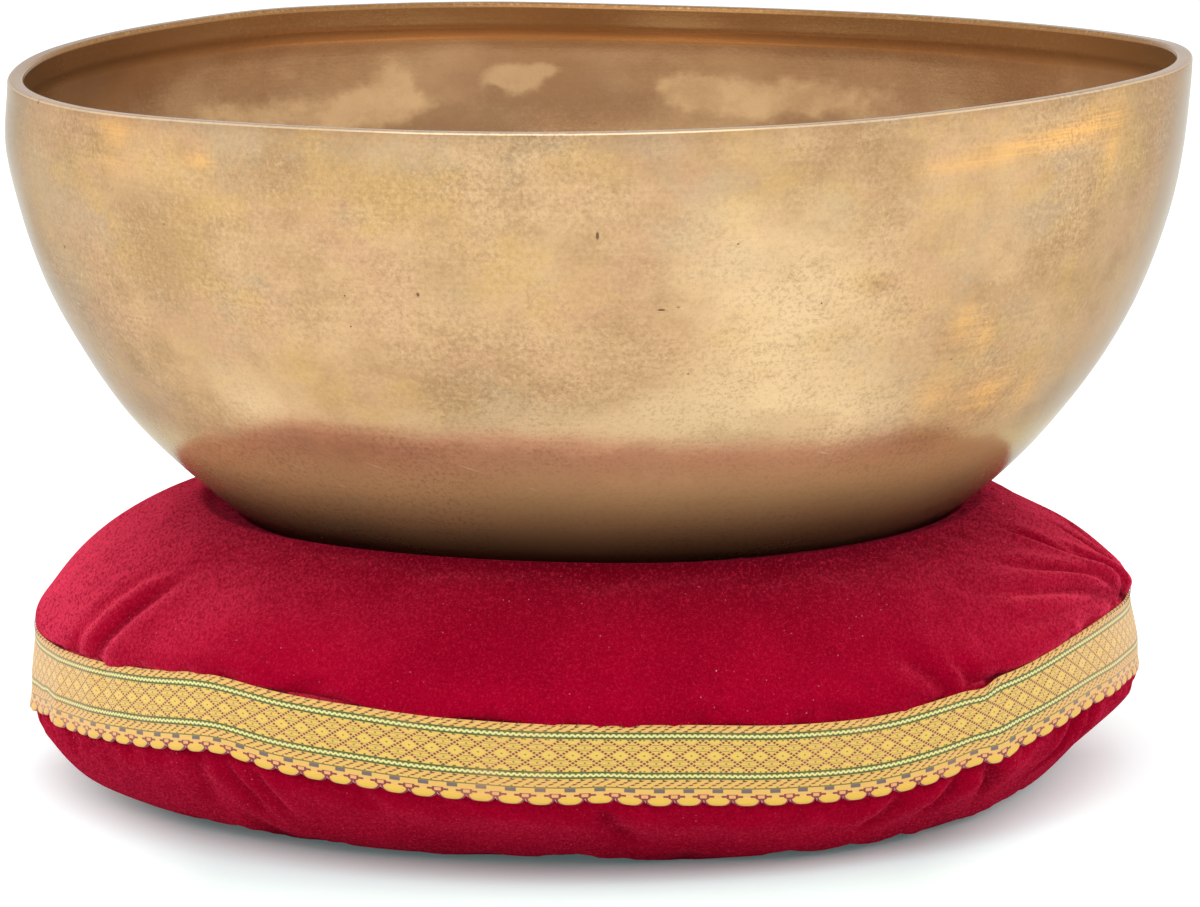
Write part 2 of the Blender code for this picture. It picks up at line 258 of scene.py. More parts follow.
# Paler places on the outside, and darker ones with a negative strength: mostly the metal's own tone, but the
# tall dark bands at -74 and 74 degrees are painted shade at both sides, and the pale bands low in front are
# painted reflection
TONES = (
    (17, 140, 34, 38, 0.6),
    (20, 108, 40, 12, 0.75),
    (-10, 104, 50, 10, 0.8),
    (6, 92, 50, 7, 0.7),
    (-40, 108, 16, 12, 0.6),
    (-74, 150, 20, 60, -0.5),
    (74, 150, 20, 60, -0.5),
    (-46, 148, 14, 18, -0.8),
    (-30, 168, 20, 6, -0.4),
    (3, 130, 18, 12, -0.5),
    (8, 171, 46, 5, -0.5),
    (-14, 146, 14, 9, -0.4),
    (27, 141, 4, 1.6, -0.9),
    (160, 130, 40, 20, 0.6),
    (-120, 120, 30, 24, -0.5),
    (100, 150, 30, 14, -0.5),
)

# Painted reflections of the bright background on the inside, between brown tarnish
INSIDE_REFLECTIONS = (
    (-150, 153, 26, 6, 0.9),
    (-157.5, 158, 8, 8, 0.8),
    (-138, 156, 14, 5, 0.5),
    (-147, 166, 16, 4, 0.35),
    (-171, 159.8, 9, 4.4, 1.1),
    (-175, 162, 5, 2, 0.7),
    (-169, 157.0, 2.6, 1.6, -0.6),
    (170, 156.5, 10, 4.5, 0.9),
    (163, 154, 18, 6, 0.8),
    (153, 155, 18, 7, 0.7),
    (30, 140, 24, 14, 1.0),
    (-60, 125, 26, 16, 1.0),
    (95, 130, 22, 14, 1.0),
    (-100, 140, 20, 12, 0.9),
)

# Dark nicks on the outside
NICKS = (
    (0, 156, 0.45, 1.1, 1.0),
    (5.9, 137.7, 1.2, 0.3, 0.9),
    (7.5, 138.2, 0.8, 0.3, 0.6),
    (-17, 141.3, 0.7, 0.9, 0.7),
    (-24.4, 140.3, 0.4, 0.4, 0.7),
    (12.8, 153.2, 0.5, 0.3, 0.7),
    (-66, 178.6, 0.5, 0.8, 0.9),
    (130, 128, 0.5, 1.0, 0.9),
    (-150, 140, 0.9, 0.4, 0.8),
)

# Bright scratches that fall to the right: angle in degrees from the front, height and half the length in mm
SCRATCHES = (
    (-37.9, 93, 2.2),
    (-32.9, 89, 1.3),
    (-26.5, 95.7, 2.6),
    (-14.9, 96.3, 2.4),
    (-43.9, 90.2, 1.0),
    (-8.0, 91.0, 1.0),
    (26.0, 98.0, 1.6),
    (140, 95, 2.4),
)

# Middles of the ribbon's two zigzag bands below its upper edge, in millimetres
ZIGZAGS = (2.55, 12.25)

# Ripples along the ribbon's upper and lower edge: height in millimetres, number round the waist and phase
UPPER_RIPPLE = (0.05, 23, 1.0)
LOWER_RIPPLE = (0.2, 29, 0.0)

# Ribbon's edges to the rows of velvet held behind it
BAND_INSET = 0.0012

# Ribbon's edges to the velvet's swelling over them, and half the height of the swelling
CINCH_RISE, CINCH_RUN = 0.0032, 0.0034

# Length of the velvet's broad unevenness
SOFT_SIZE = 0.05

# How far below the ribbon's middle the cushion's lean begins
LEAN_START = 0.004

# Lengths over which folds grow from the crest and from the floor
CREST_FADE, FOOT_FADE = 0.012, 0.009

# Height over which the stuffing's push grows from the floor, and the share of it by which the velvet is cut
# smaller
SWELL_FADE, SLACK = 0.012, 0.8

# Settings of the cloth simulation that pushes the velvet out, and its number of frames
STUFFING = {
    "quality": 6,
    "mass": 0.2,
    "tension_stiffness": 25,
    "compression_stiffness": 25,
    "shear_stiffness": 10,
    "bending_stiffness": 2,
    "shrink_min": -0.02,
    "use_pressure": True,
    "uniform_pressure_force": 4,
}
STUFFING_FRAMES = 20

# Seeds of the hammer marks, the wall's unevenness and the velvet's, and the hammer's jitter in radians
HAMMER_SEED, WALL_SEED, VELVET_SEED, HAMMER_JITTER = 7, 3, 11, 0.04

# Rows of points along the bowl's section: inside, lip, each eased edge and outside
INSIDE_ROWS, LIP_ROWS, EDGE_ROWS, OUTSIDE_ROWS = 60, 18, 7, 76

# Rows of points along the cushion's section
DENT_ROWS, CREST_ROWS, CROWN_ROWS, BAND_ROWS, BELLY_ROWS, FOOT_ROWS = 24, 16, 60, 8, 44, 8

# Places tried along the bowl's wall to find where the crown meets it
WALL_SAMPLES = 4000

# Rows of points across the ribbon: its straight part and its scallops
STRAIGHT_ROWS, SCALLOP_ROWS = 20, 8

# Points round the bowl, the cushion and the floor, along a scallop and along a stitch
BOWL_COLUMNS, CUSHION_COLUMNS, FLOOR_COLUMNS, SCALLOP_COLUMNS, STITCH_STEPS = 384, 504, 96, 10, 7


def length(name, default, description):
    """A property in metres."""
    return FloatProperty(name=name, default=default, description=description, unit="LENGTH", precision=4)


def amount(name, default, description):
    """A plain number."""
    return FloatProperty(name=name, default=default, description=description)


def count(name, default, description):
    """A whole number."""
    return IntProperty(name=name, default=default, description=description, min=1)


def colour(name, default, description):
    """A linear colour."""
    limits = {"subtype": "COLOR", "min": 0, "max": 1}
    return FloatVectorProperty(name=name, default=default, description=description, **limits)


def rotation(name, degrees, description):
    """An angle given in degrees."""
    default = math.radians(degrees)
    return FloatProperty(name=name, default=default, description=description, subtype="ANGLE")


class BowlSettings(bpy.types.PropertyGroup):
    """Sizes and colours of the bowl."""

    rim_radius: length("Rim radius", BOWL_HIGH.x, "Outside of the rim")
    rim_height: length("Rim height", BOWL_HIGH.z, "Top of the rim above the floor")
    base_height: length("Base height", BOWL_LOW.z, "Underside of the bowl above the floor")
    round_depth: length("Round depth", 0.1414, "Depth of the ellipse that the wall follows")
    wall: length("Wall", 0.0023, "Thickness of the wall")
    lip: length("Lip", 0.0040, "Thickness of the lip")
    lip_height: length("Lip height", 0.0060, "Height of the lip's inner face")
    lip_step: length("Lip step", 0.0044, "Height over which the lip thins to the wall")
    rim_edge: length("Rim edge", 0.0008, "Radius of the rim's eased edges")
    base_round: length("Base round", 0.0014, "Softness of the edge of the flat base")
    hammer_marks: count("Hammer marks", 800, "Number of hammer marks on the wall")
    hammer_depth: length("Hammer depth", 0.00005, "Height between the middle and the edge of a mark")
    unevenness: length("Unevenness", 0.00028, "Depth of the wall's broad unevenness")
    uneven_size: length("Uneven size", 0.045, "Length of the wall's broad unevenness")
    wave_depth: length("Wave depth", 0.09, "How far down the rim's wave reaches")
    turn_depth: length("Turn depth", 0.02, "How far down the rim's turn inwards reaches")
    rim_fade: length("Rim fade", 0.012, "Depth below the rim over which the hammer's marks grow")
    rim_calm: amount("Rim calm", 0.7, "Share of the hammer's marks that is missing at the rim")
    base_fade: length("Base fade", 0.004, "Height above the base over which the hammer's marks grow")
    light: colour("Light bronze", (0.66, 0.405, 0.210), "Palest of the metal")
    deep: colour("Deep bronze", (0.475, 0.275, 0.132), "Darkest of the metal")
    # Paler places, partly painted light, and pale specks
    pale: colour("Pale bronze", (0.84, 0.575, 0.315), "Places rubbed bright")
    golden: colour("Golden bronze", (0.65, 0.395, 0.140), "Yellow patches")
    pink: colour("Pink bronze", (0.61, 0.340, 0.195), "Coppery patches")
    grey: colour("Grey bronze", (0.51, 0.365, 0.230), "Greenish grey patches")
    stain: colour("Stain", (0.88, 0.46, 0.15), "Orange stains")
    # Painted reflection of the cushion on the lower wall
    cushion_reflection: colour("Umber", (0.95, 0.72, 0.31), "Wall that the cushion shades")
    shade: colour("Shade", (0.14, 0.035, 0.020), "Dark wall close to the cushion")
    inner: colour("Inner bronze", (0.43, 0.225, 0.102), "Brown tarnish inside")
    # Painted reflections of the bright background inside
    clean: colour("Clean bronze", (0.75, 0.485, 0.240), "Clean places inside")
    # Dark inner face of the lip, and painted shade on the rim's top at the back
    lip_tint_and_shade: colour("Lip tint", (0.36, 0.175, 0.060), "Dark inner face of the lip")
    # Painted highlight under the lip
    lip_highlight: colour("Glow", (0.95, 0.52, 0.19), "Coppery line under the lip")
    # Painted highlight on the rim's eased edges in front, and the colour of the bright scratches
    edge: colour("Edge", (0.95, 0.78, 0.54), "Polished top of the rim")
    limb: colour("Limb", (0.45, 0.42, 0.38), "Reflection at a slant")
    # Pits and dark specks, and painted shade inside on the left
    pit_and_shade: colour("Pit", (0.10, 0.05, 0.03), "Pits and dark specks")


class CushionSettings(bpy.types.PropertyGroup):
    """Sizes and colours of the velvet cushion."""

    radius: length("Radius", 0.1402, "Velvet at the waist")
    seam_height: length("Seam height", 0.0320, "Middle of the ribbon above the floor")
    dome_height: length("Dome height", 0.0338, "Crown above the ribbon's upper edge")
    dome_flat: length("Dome flat", 0.070, "Radius where the crown would level out")
    dome_power: amount("Dome power", 1.75, "Fullness of the crown, 2 is an ellipse")
    foot_radius: length("Foot radius", 0.112, "Patch that rests on the floor")
    belly_power: amount("Belly power", 1.3, "Fullness of the curve down to the floor")
    crest_run: length("Crest run", 0.0055, "Half the width of the rolled edge round the bowl")
    shift: length("Shift", -0.0045, "Middle of the cushion from the bowl's axis")
    tilt: length("Tilt", 0.0028, "Rise of the crown's edge on the left, and fall on the right")
    sag: length("Sag", 0.0009, "Fall of the crown's edge on both sides")
    front: length("Front", 0.0014, "Rise of the crown's edge in front")
    seat_gap: length("Seat gap", 0.0006, "Bowl to velvet")
    recess: length("Recess", 0.0004, "How far the velvet is drawn in behind the ribbon")
    cinch: length("Cinch", 0.0009, "How far the velvet swells over the ribbon's edges")
    softness: length("Softness", 0.0005, "Depth of the velvet's broad unevenness")
    swell: length("Swell", 0.0014, "Most that the stuffing pushes the velvet out")
    # Painted shade on the velvet round the bowl, most in front of it, and in the deepest folds
    shade_reach: length("Pressed reach", 0.042, "How far the flattened pile reaches beyond the crest")
    dent_shade: amount("Pressed dent", 0.7, "Share of flattened pile in the middle of the dent")
    front_shade: amount("Pressed front", 0.53, "How much more of it lies in front of the bowl")
    back_shade: amount("Pressed back", 0.25, "How much less of it lies behind the bowl")
    fold_shade: amount("Pressed fold", 0.75, "Share of flattened pile in the deepest folds")
    velvet: colour("Velvet", (0.39, 0.0006, 0.021), "Pile seen straight on")
    velvet_dark: colour("Dark velvet", (0.15, 0.0002, 0.007), "Shaded roots of the pile")
    glint: colour("Glint", (0.66, 0.020, 0.065), "Tips of the pile")
    sheen: colour("Sheen", (0.98, 0.075, 0.15), "Pile seen at a slant")
    sheen_tint: colour("Sheen tint", (1.0, 0.05, 0.16), "Light that the tips of the pile scatter")
    lint: colour("Lint", (0.85, 0.55, 0.58), "Specks of lint")


class RibbonSettings(bpy.types.PropertyGroup):
    """Sizes and colours of the brocade ribbon and its stitches."""

    width: length("Width", 0.0195, "Upper edge to the tips of the scallops")
    thickness: length("Thickness", 0.0006, "Thickness of the weave")
    scallops: count("Scallops", 126, "Scallops round the waist")
    lap: count("Lap", 2, "Scallops that the ends lap over each other")
    lap_angle: rotation("Lap angle", 90, "Where the ends lap")
    lap_gap: length("Lap gap", 0.0004, "Between the two ends that lap")
    gap: length("Gap", 0.0003, "Velvet to the back of the ribbon")
    waist: length("Waist", 0.01, "Half the height of the waist that carries the ribbon")
    plain: length("Plain", 0.0165, "Upper edge to the last row of the straight part")
    straight: length("Straight", 0.0172, "Upper edge to where the scallops begin")
    notch: length("Notch", 0.0012, "Depth of the notches between scallops")
    oval_middle: length("Oval middle", 0.01852, "Upper edge to the middle of the scallops' ovals")
    oval_height: length("Oval height", 0.0009, "Half the height of the ovals")
    oval_width: amount("Oval width", 0.80, "Share of a scallop's width that its oval takes")
    oval_relief: length("Oval relief", 0.0003, "How far the ovals stand out")
    edge_share: amount("Edge share", 0.6, "Share of the thickness at the ribbon's edges")
    cord_height: length("Cord height", 0.0008, "Half the height of the zigzags' swelling")
    cord_relief: length("Cord relief", 0.00008, "How far the zigzags stand out")
    upper_stitches: count("Upper stitches", 252, "Stitches over the upper edge")
    stitch_radius: length("Stitch radius", 0.00009, "Half the thickness of a stitch")
    stitch_arch: length("Stitch arch", 0.0002, "How far the middle of a stitch stands out")
    gold: colour("Gold", (0.95, 0.58, 0.13), "Ground of the weave")
    yellow: colour("Yellow", (0.96, 0.70, 0.10), "Yellow floats")
    amber: colour("Amber", (0.92, 0.57, 0.075), "Ovals of the scallops")
    cream: colour("Cream", (0.93, 0.86, 0.34), "Pale zigzags")
    maroon: colour("Maroon", (0.12, 0.008, 0.014), "Dark red dots")
    wine: colour("Wine", (0.25, 0.012, 0.045), "Chain and gaps between scallops")
    green: colour("Green", (0.036, 0.095, 0.009), "Green lines")
    slate: colour("Slate", (0.13, 0.10, 0.14), "Grey blocks")
    olive: colour("Olive", (0.24, 0.15, 0.035), "Thin dark lines in the lozenges")
    rose: colour("Rose", (0.93, 0.45, 0.19), "Warm yarn between the floats")
    dark_thread: colour("Dark thread", (0.14, 0.02, 0.02), "Upper stitches")
    pale_thread: colour("Pale thread", (0.85, 0.55, 0.55), "Lower stitches")


class StageSettings(bpy.types.PropertyGroup):
    """Camera, floor and light."""

    camera_back: length("Camera back", 1.709, "Camera in front of the bowl's axis")
    camera_height: length("Camera height", 0.369, "Camera above the floor")
    camera_tilt: rotation("Camera tilt", 80.4, "From straight down")
    camera_roll: rotation("Camera roll", -0.68, "About the line of sight")
    lens: amount("Lens", 204.06, "Focal length in millimetres on a 36 mm wide sensor")
    floor_size: length("Floor size", 3.0, "Radius of the floor")
    floor: colour("Floor", (0.86, 0.955, 0.955), "Floor")
    near_lift: colour("Near lift", (0.050, 0.090, 0.090), "Added to the floor near the object, as it is seen")
    far_lift: colour("Far lift", (0.36, 0.37, 0.37), "The same away from the object")
    fill: amount("Fill", 0.80, "Even light from all round")
    key: amount("Key", 9.5, "Watts of the large light above and in front")
    side: amount("Side", 4.2, "Watts of the light from the left; the right has nine tenths of it")


class SingingBowlSettings(bpy.types.PropertyGroup):
    """All settings of the add-on."""

    bowl: PointerProperty(type=BowlSettings)
    cushion: PointerProperty(type=CushionSettings)
    ribbon: PointerProperty(type=RibbonSettings)
    stage: PointerProperty(type=StageSettings)


def smooth(low, high, value):
    """0 at low and 1 at high with the S-curve 3t^2 - 2t^3 between them; high may be less than low."""
    share = np.clip((value - low) / (high - low), 0, 1)
    return share * share * (3 - 2 * share)


def soft_min(first, second, width):
    """The lesser of two values with the corner between them rounded: -w log(exp(-a / w) + exp(-b / w))."""
    return -width * np.logaddexp(-first / width, -second / width)


def cubic_shares(t):
    """Shares of a cubic's start, its slope there, its end and its slope there, at t from 0 to 1."""
    return 2 * t**3 - 3 * t**2 + 1, t**3 - 2 * t**2 + t, 3 * t**2 - 2 * t**3, t**3 - t**2


def turn_from(degrees, angle):
    """The shorter way round from an angle in degrees to angles in radians."""
    return (angle - math.radians(degrees) + math.pi) % math.tau - math.pi


def round_curve(knots, angle):
    """A closed curve through (degrees, millimetres) knots in metres at angles in radians.

    Each span is the cubic whose slope at a knot is that of the line between the knot's two neighbours.
    """
    degrees, values = np.array(knots, float).T
    turn = np.concatenate([degrees[-2:] - 360, degrees, degrees[:2] + 360])
    value = np.concatenate([values[-2:], values, values[:2]]) / 1000
    slope = np.gradient(value, turn)
    at = (np.degrees(angle) - degrees[0]) % 360 + degrees[0]
    i = np.clip(np.searchsorted(turn, at, side="right") - 1, 1, len(turn) - 3)
    span = turn[i + 1] - turn[i]
    start, leave, end, arrive = cubic_shares((at - turn[i]) / span)
    return start * value[i] + leave * span * slope[i] + end * value[i + 1] + arrive * span * slope[i + 1]


def unevenness(points, size, seed, waves=28):
    """A gentle unevenness of about -1 to 1: a sum of sines about size long in seeded directions."""
    rng = np.random.default_rng(seed)
    ways = rng.normal(size=(waves, 3))
    ways /= np.linalg.norm(ways, axis=1, keepdims=True) * size * rng.uniform(0.7, 1.5, (waves, 1))
    phase = rng.uniform(0, math.tau, waves)
    return np.sin(math.tau * points @ ways.T + phase).sum(axis=-1) / math.sqrt(waves)


def around(angle, radius, height):
    """Points from angles round the axis, radii and heights."""
    angle, radius, height = np.broadcast_arrays(angle, radius, height)
    return np.stack([radius * np.cos(angle), radius * np.sin(angle), height], axis=-1)


def grid_faces(rows, columns, rows_close, columns_close):
    """Corner numbers of the quads of a grid, whose last row or column joins its first where it closes."""
    row, column = np.indices((rows - (not rows_close), columns - (not columns_close)))
    below = (row + 1) % rows
    right = (column + 1) % columns
    here, under = row * columns, below * columns
    return np.stack([here + column, under + column, under + right, here + right], axis=-1).reshape(-1, 4)


def add_piece(name, points, faces, material, uv=None, values=None):
    """A smooth mesh object at the origin, with a UV and named numbers for each point where they are given."""
    mesh = bpy.data.meshes.new(name)
    mesh.from_pydata(points.reshape(-1, 3).tolist(), [], faces)
    mesh.shade_smooth()
    if uv is not None:
        corner = np.empty(len(mesh.loops), int)
        mesh.loops.foreach_get("vertex_index", corner)
        places = uv.reshape(-1, 2)[corner].astype(np.float32)
        mesh.uv_layers.new(name="weave").uv.foreach_set("vector", places.ravel())
    for title, numbers in (values or {}).items():
        layer = mesh.attributes.new(title, "FLOAT", "POINT")
        layer.data.foreach_set("value", numbers.astype(np.float32).ravel())
    mesh.materials.append(material)
    piece = bpy.data.objects.new(name, mesh)
    bpy.context.scene.collection.objects.link(piece)
    return piece


def turned_faces(rows, columns):
    """Faces of a turned surface whose rings are followed by one point at each end of the axis."""
    first, last = rows * columns, rows * columns + 1
    column = np.arange(columns)
    after = (column + 1) % columns
    start = np.stack([np.full(columns, first), column, after], axis=1)
    rim = (rows - 1) * columns
    end = np.stack([np.full(columns, last), after + rim, column + rim], axis=1)
    quads = grid_faces(rows, columns, False, True)
    return [*quads.tolist(), *start.tolist(), *end.tolist()]


class Value:
    """A number, vector or colour in a finish; arithmetic with it adds Math nodes."""

    def __init__(self, finish, socket):
        self.finish = finish
        self.socket = socket

    def math(self, operation, *operands):
        return self.finish.node("ShaderNodeMath", {"operation": operation}, dict(enumerate(operands)))

    def __add__(self, other):
        return self.math("ADD", self, other)

    def __sub__(self, other):
        return self.math("SUBTRACT", self, other)

    def __rsub__(self, other):
        return self.math("SUBTRACT", other, self)

    def __mul__(self, other):
        return self.math("MULTIPLY", self, other)

    def __truediv__(self, other):
        return self.math("DIVIDE", self, other)

    def __pow__(self, power):
        return self.math("POWER", self, power)

    def __abs__(self):
        return self.math("ABSOLUTE", self)

    __radd__ = __add__
    __rmul__ = __mul__

    def __rpow__(self, base):
        return self.math("POWER", base, self)

    def either(self, other):
        """The greater of two values."""
        return self.math("MAXIMUM", self, other)

    def turn_from(self, degrees):
        """The shorter way round to this angle from one in degrees."""
        return self.math("WRAP", self - math.radians(degrees), math.pi, -math.pi)

    def tent(self):
        """A wave of straight flanks: 1 at whole numbers, 0 half-way between them."""
        return abs(self.math("FRACT", self) * 2 - 1)

    def rise(self, low, high):
        """0 at low and 1 at high with an S-curve between them."""
        inputs = {"Value": self, "From Min": low, "From Max": high}
        return self.finish.node("ShaderNodeMapRange", {"interpolation_type": "SMOOTHSTEP"}, inputs)

    def band(self, low, high, soft):
        """1 between low and high, 0 outside them, with soft edges."""
        return self.rise(low - soft, low + soft) * (1 - self.rise(high - soft, high + soft))

    def mound(self):
        """The bell curve exp(-x^2)."""
        return math.e ** (-1 * self * self)


class Finish:
    """A procedural finish of a material or the world under construction."""

    def __init__(self, owner, shader="Principled BSDF"):
        owner.use_nodes = True
        self.owner = owner
        self.tree = owner.node_tree
        self.shader = self.tree.nodes[shader]
        self.colour = None

    def node(self, kind, settings, inputs, output=0):
        """Adds a node: its settings first, then the values or links of its sockets."""
        node = self.tree.nodes.new(kind)
        for key, value in settings.items():
            setattr(node, key, value)
        for key, value in inputs.items():
            self.feed(node.inputs[key], value)
        return Value(self, node.outputs[output])

    def feed(self, socket, value):
        """Links a value to a socket or sets a constant on it."""
        if isinstance(value, Value):
            self.tree.links.new(value.socket, socket)
        elif socket.type == "RGBA":
            socket.default_value = (*value[:3], 1)
        else:
            socket.default_value = value

    def set(self, **inputs):
        """Feeds the shader's sockets, named with underscores for spaces."""
        for key, value in inputs.items():
            self.feed(self.shader.inputs[key.replace("_", " ")], value)

    def place(self):
        """Position on the object."""
        return self.node("ShaderNodeTexCoord", {}, {}, "Object")

    def parts(self, vector):
        """The three numbers of a vector."""
        node = self.node("ShaderNodeSeparateXYZ", {}, {0: vector}).socket.node
        return [Value(self, socket) for socket in node.outputs]

    def join(self, x, y, z):
        """A vector of three numbers."""
        return self.node("ShaderNodeCombineXYZ", {}, {0: x, 1: y, 2: z})

    def noise(self, vector, scale, detail, roughness):
        """Cloudy noise from 0 to 1."""
        inputs = {"Vector": vector, "Scale": scale, "Detail": detail, "Roughness": roughness}
        return self.node("ShaderNodeTexNoise", {}, inputs)

    def cells(self, vector, scale, output="Distance"):
        """Distance to the nearest of scattered points, or that point's random colour."""
        return self.node("ShaderNodeTexVoronoi", {}, {"Vector": vector, "Scale": scale}, output)

    def specks(self, vector, scale, size, share):
        """Spots of about a size, in cell widths, at a share of scattered points."""
        chance = self.parts(self.cells(vector, scale, "Color"))[0]
        near = 1 - self.cells(vector, scale).rise(size * 0.5, size)
        return near * chance.rise(1 - share, 1 - share + 0.001)

    def mix(self, first, second, factor):
        """A colour between two colours."""
        return self.node("ShaderNodeMix", {"data_type": "RGBA"}, {0: factor, 6: first, 7: second}, 2)

    def coat(self, colour, share):
        """Lays a share of a colour over the finish's colour so far."""
        self.colour = self.mix(self.colour, colour, share)

    def bump(self, height, distance, strength):
        """A normal from heights, one of which stands for a distance."""
        return self.node("ShaderNodeBump", {}, {"Height": height, "Distance": distance, "Strength": strength})

    def number(self, title):
        """A named number that the mesh carries."""
        return self.node("ShaderNodeAttribute", {"attribute_name": title}, {}, "Fac")

    def seen(self):
        """1 where the camera or a reflection looks, 0 where light is only gathered."""
        path = self.node("ShaderNodeLightPath", {}, {}).socket.node
        rays = ("Is Camera Ray", "Is Glossy Ray", "Is Transmission Ray")
        camera, glossy, through = (Value(self, path.outputs[ray]) for ray in rays)
        return camera.either(glossy).either(through)


def spots(turn, z, radius, table):
    """The sum of bell-shaped marks on a turned wall of about a radius."""
    total = 0.0
    for angle, height, wide, high, strength in table:
        across, up = turn.turn_from(angle) * (1000 * radius / wide), (z - height / 1000) * (1000 / high)
        total = across.mound() * up.mound() * strength + total
    return total


def bronze_finish(s):
    """Satin bronze, mottled gold, copper and grey, brown inside, with grain, pits, scratches and stains, and
    painted reflections, highlights and shade.
    """
    f = Finish(bpy.data.materials.new("hammered_bronze"))
    place = f.place()
    x, y, z = f.parts(place)
    turn = x.math("ARCTAN2", x, -1 * y)
    inside, depth = f.number("inside"), f.number("depth")
    outside = 1 - inside

    def cloud(scale, apart):
        return f.noise(f.join(x + apart, y + inside, z * 1.4), scale, 5, 0.61)

    tone, fine = cloud(20, 0.0), cloud(80, 1.0)
    sand = f.noise(place, 900, 2, 0.7)
    grain = f.noise(place, 1900, 2, 0.6)
    brushed = f.noise(f.join(x * 0.15, y * 0.15, z * 6), 260, 2, 0.6)
    f.colour = f.mix(s.deep, s.light, (tone * 0.65 + fine * 0.35).rise(0.36, 0.62))
    f.coat(s.golden, cloud(34, 2.0).rise(0.48, 0.62) * 0.45)
    f.coat(s.pink, cloud(30, 3.0).rise(0.48, 0.62) * 0.50)
    f.coat(s.grey, cloud(26, 4.0).rise(0.50, 0.64) * 0.45)
    # Tone marks: partly the metal's own tone, partly painted shade at both sides as seen from the front and
    # painted reflection low in front
    toned_and_lit = spots(turn, z, s.rim_radius, TONES) * ((tone + fine) * 0.9 + 0.1) * outside
    f.coat(s.pale, toned_and_lit.rise(0.0, 1.0))
    f.coat(s.deep, toned_and_lit.rise(0.0, -1.0))
    streaks = 0.5 + 0.3 * fine.rise(0.34, 0.60) + 0.5 * brushed.rise(0.40, 0.60)
    f.coat(s.stain, spots(turn, z, s.rim_radius, STAINS) * streaks * outside)
    # Painted reflection: a darker lobed band where the reflection of the cushion in the lower wall begins
    painted_reflection_edge = z + (cloud(38, 7.0) - 0.5) * 0.05
    f.coat(s.deep, outside * painted_reflection_edge.band(0.089, 0.103, 0.002) * 0.26)
    # Painted reflection of the cushion: the lower wall tinted warm brown
    f.coat(s.cushion_reflection, outside * z.rise(0.102, 0.088) * 0.70)
    ragged = (fine + tone - 1) * 0.9 + (cloud(230, 6.0) - 0.5) * 0.35
    # Painted reflection: paler patches on the inside where the bright background is reflected, over the brown
    # tarnish
    clean = (spots(turn, z, s.rim_radius, INSIDE_REFLECTIONS) + ragged).rise(0.22, 0.72)
    dull = f.mix(s.inner, s.pit_and_shade, depth.rise(0.012, 0.030) * 0.30)
    shine = clean * (0.44 + 0.3 * fine.rise(0.36, 0.60)) + tone.rise(0.35, 0.65) * 0.42
    tarnish = f.mix(dull, s.clean, shine)
    f.coat(tarnish, inside * 0.85)
    under = depth.band(s.lip_height + 0.0018, s.lip_height + s.lip_step - 0.0004, 0.0012)
    face = inside * (1 - depth.rise(s.lip_height, s.lip_height + s.lip_step))
    f.coat(s.lip_tint_and_shade, face * (0.7 + 0.3 * tone))
    # Painted highlight: a coppery line under the lip, strongest in the middle
    f.coat(s.lip_highlight, inside * under * (0.35 + 0.45 * abs(x + 0.012).rise(0.09, 0.03)))
    # Painted shade: the inside darker on the left, where it reflects the dark opposite wall
    f.coat(s.pit_and_shade, inside * x.rise(-0.08, -0.14) * 0.3)
    # Painted shade: the rim's flat top darker at the back
    top = 1 - depth.rise(s.rim_edge * 0.6, s.rim_edge * 1.6)
    f.coat(s.lip_tint_and_shade, top * y.rise(-0.06, 0.06) * 0.95)
    # Painted highlight: the eased edges of the rim paler in front
    eased = depth.band(0.00008, s.rim_edge * 0.6, 0.00006)
    f.coat(s.edge, eased * y.rise(0.06, -0.06) * 0.55)
    speckle = sand * 0.55 + grain * 0.3 + brushed * 0.15
    coarse = (0.35 + 0.65 * cloud(14, 5.0).rise(0.40, 0.60)) * (1 - 0.75 * inside)
    f.coat(s.pit_and_shade, (1 - speckle.rise(0.36, 0.54)) * coarse * 0.34)
    f.coat(s.pale, speckle.rise(0.50, 0.68) * coarse * 0.5)
    f.coat(s.shade, outside * z.rise(0.096, 0.070) * 0.86)
    pits = f.specks(place, 70, 0.045, 0.25).either(f.specks(place, 190, 0.06, 0.08))
    pits = pits.either(spots(turn, z, s.rim_radius, NICKS).rise(0.3, 0.7) * outside)
    f.coat(s.pit_and_shade, pits * 0.8)
    bright = 0.0
    for angle, height, half in SCRATCHES:
        across, up = turn.turn_from(angle) * (900 * s.rim_radius), (z - height / 1000) * 1000
        bright = ((across - up * 0.3) / half).mound() * ((up + across * 0.3) / 0.15).mound() + bright
    f.coat(s.edge, bright * outside * 0.8)
    f.set(
        Base_Color=f.colour,
        Metallic=0.56,
        Specular_IOR_Level=0.15,
        Specular_Tint=s.limb,
        Roughness=0.15 + 0.06 * tone + 0.05 * sand + 0.3 * pits - 0.04 * top,
        Normal=f.bump(sand * 0.6 + grain * 0.4 + brushed * 0.3 - pits * 2, 0.00006, 0.6),
    )
    return f.owner


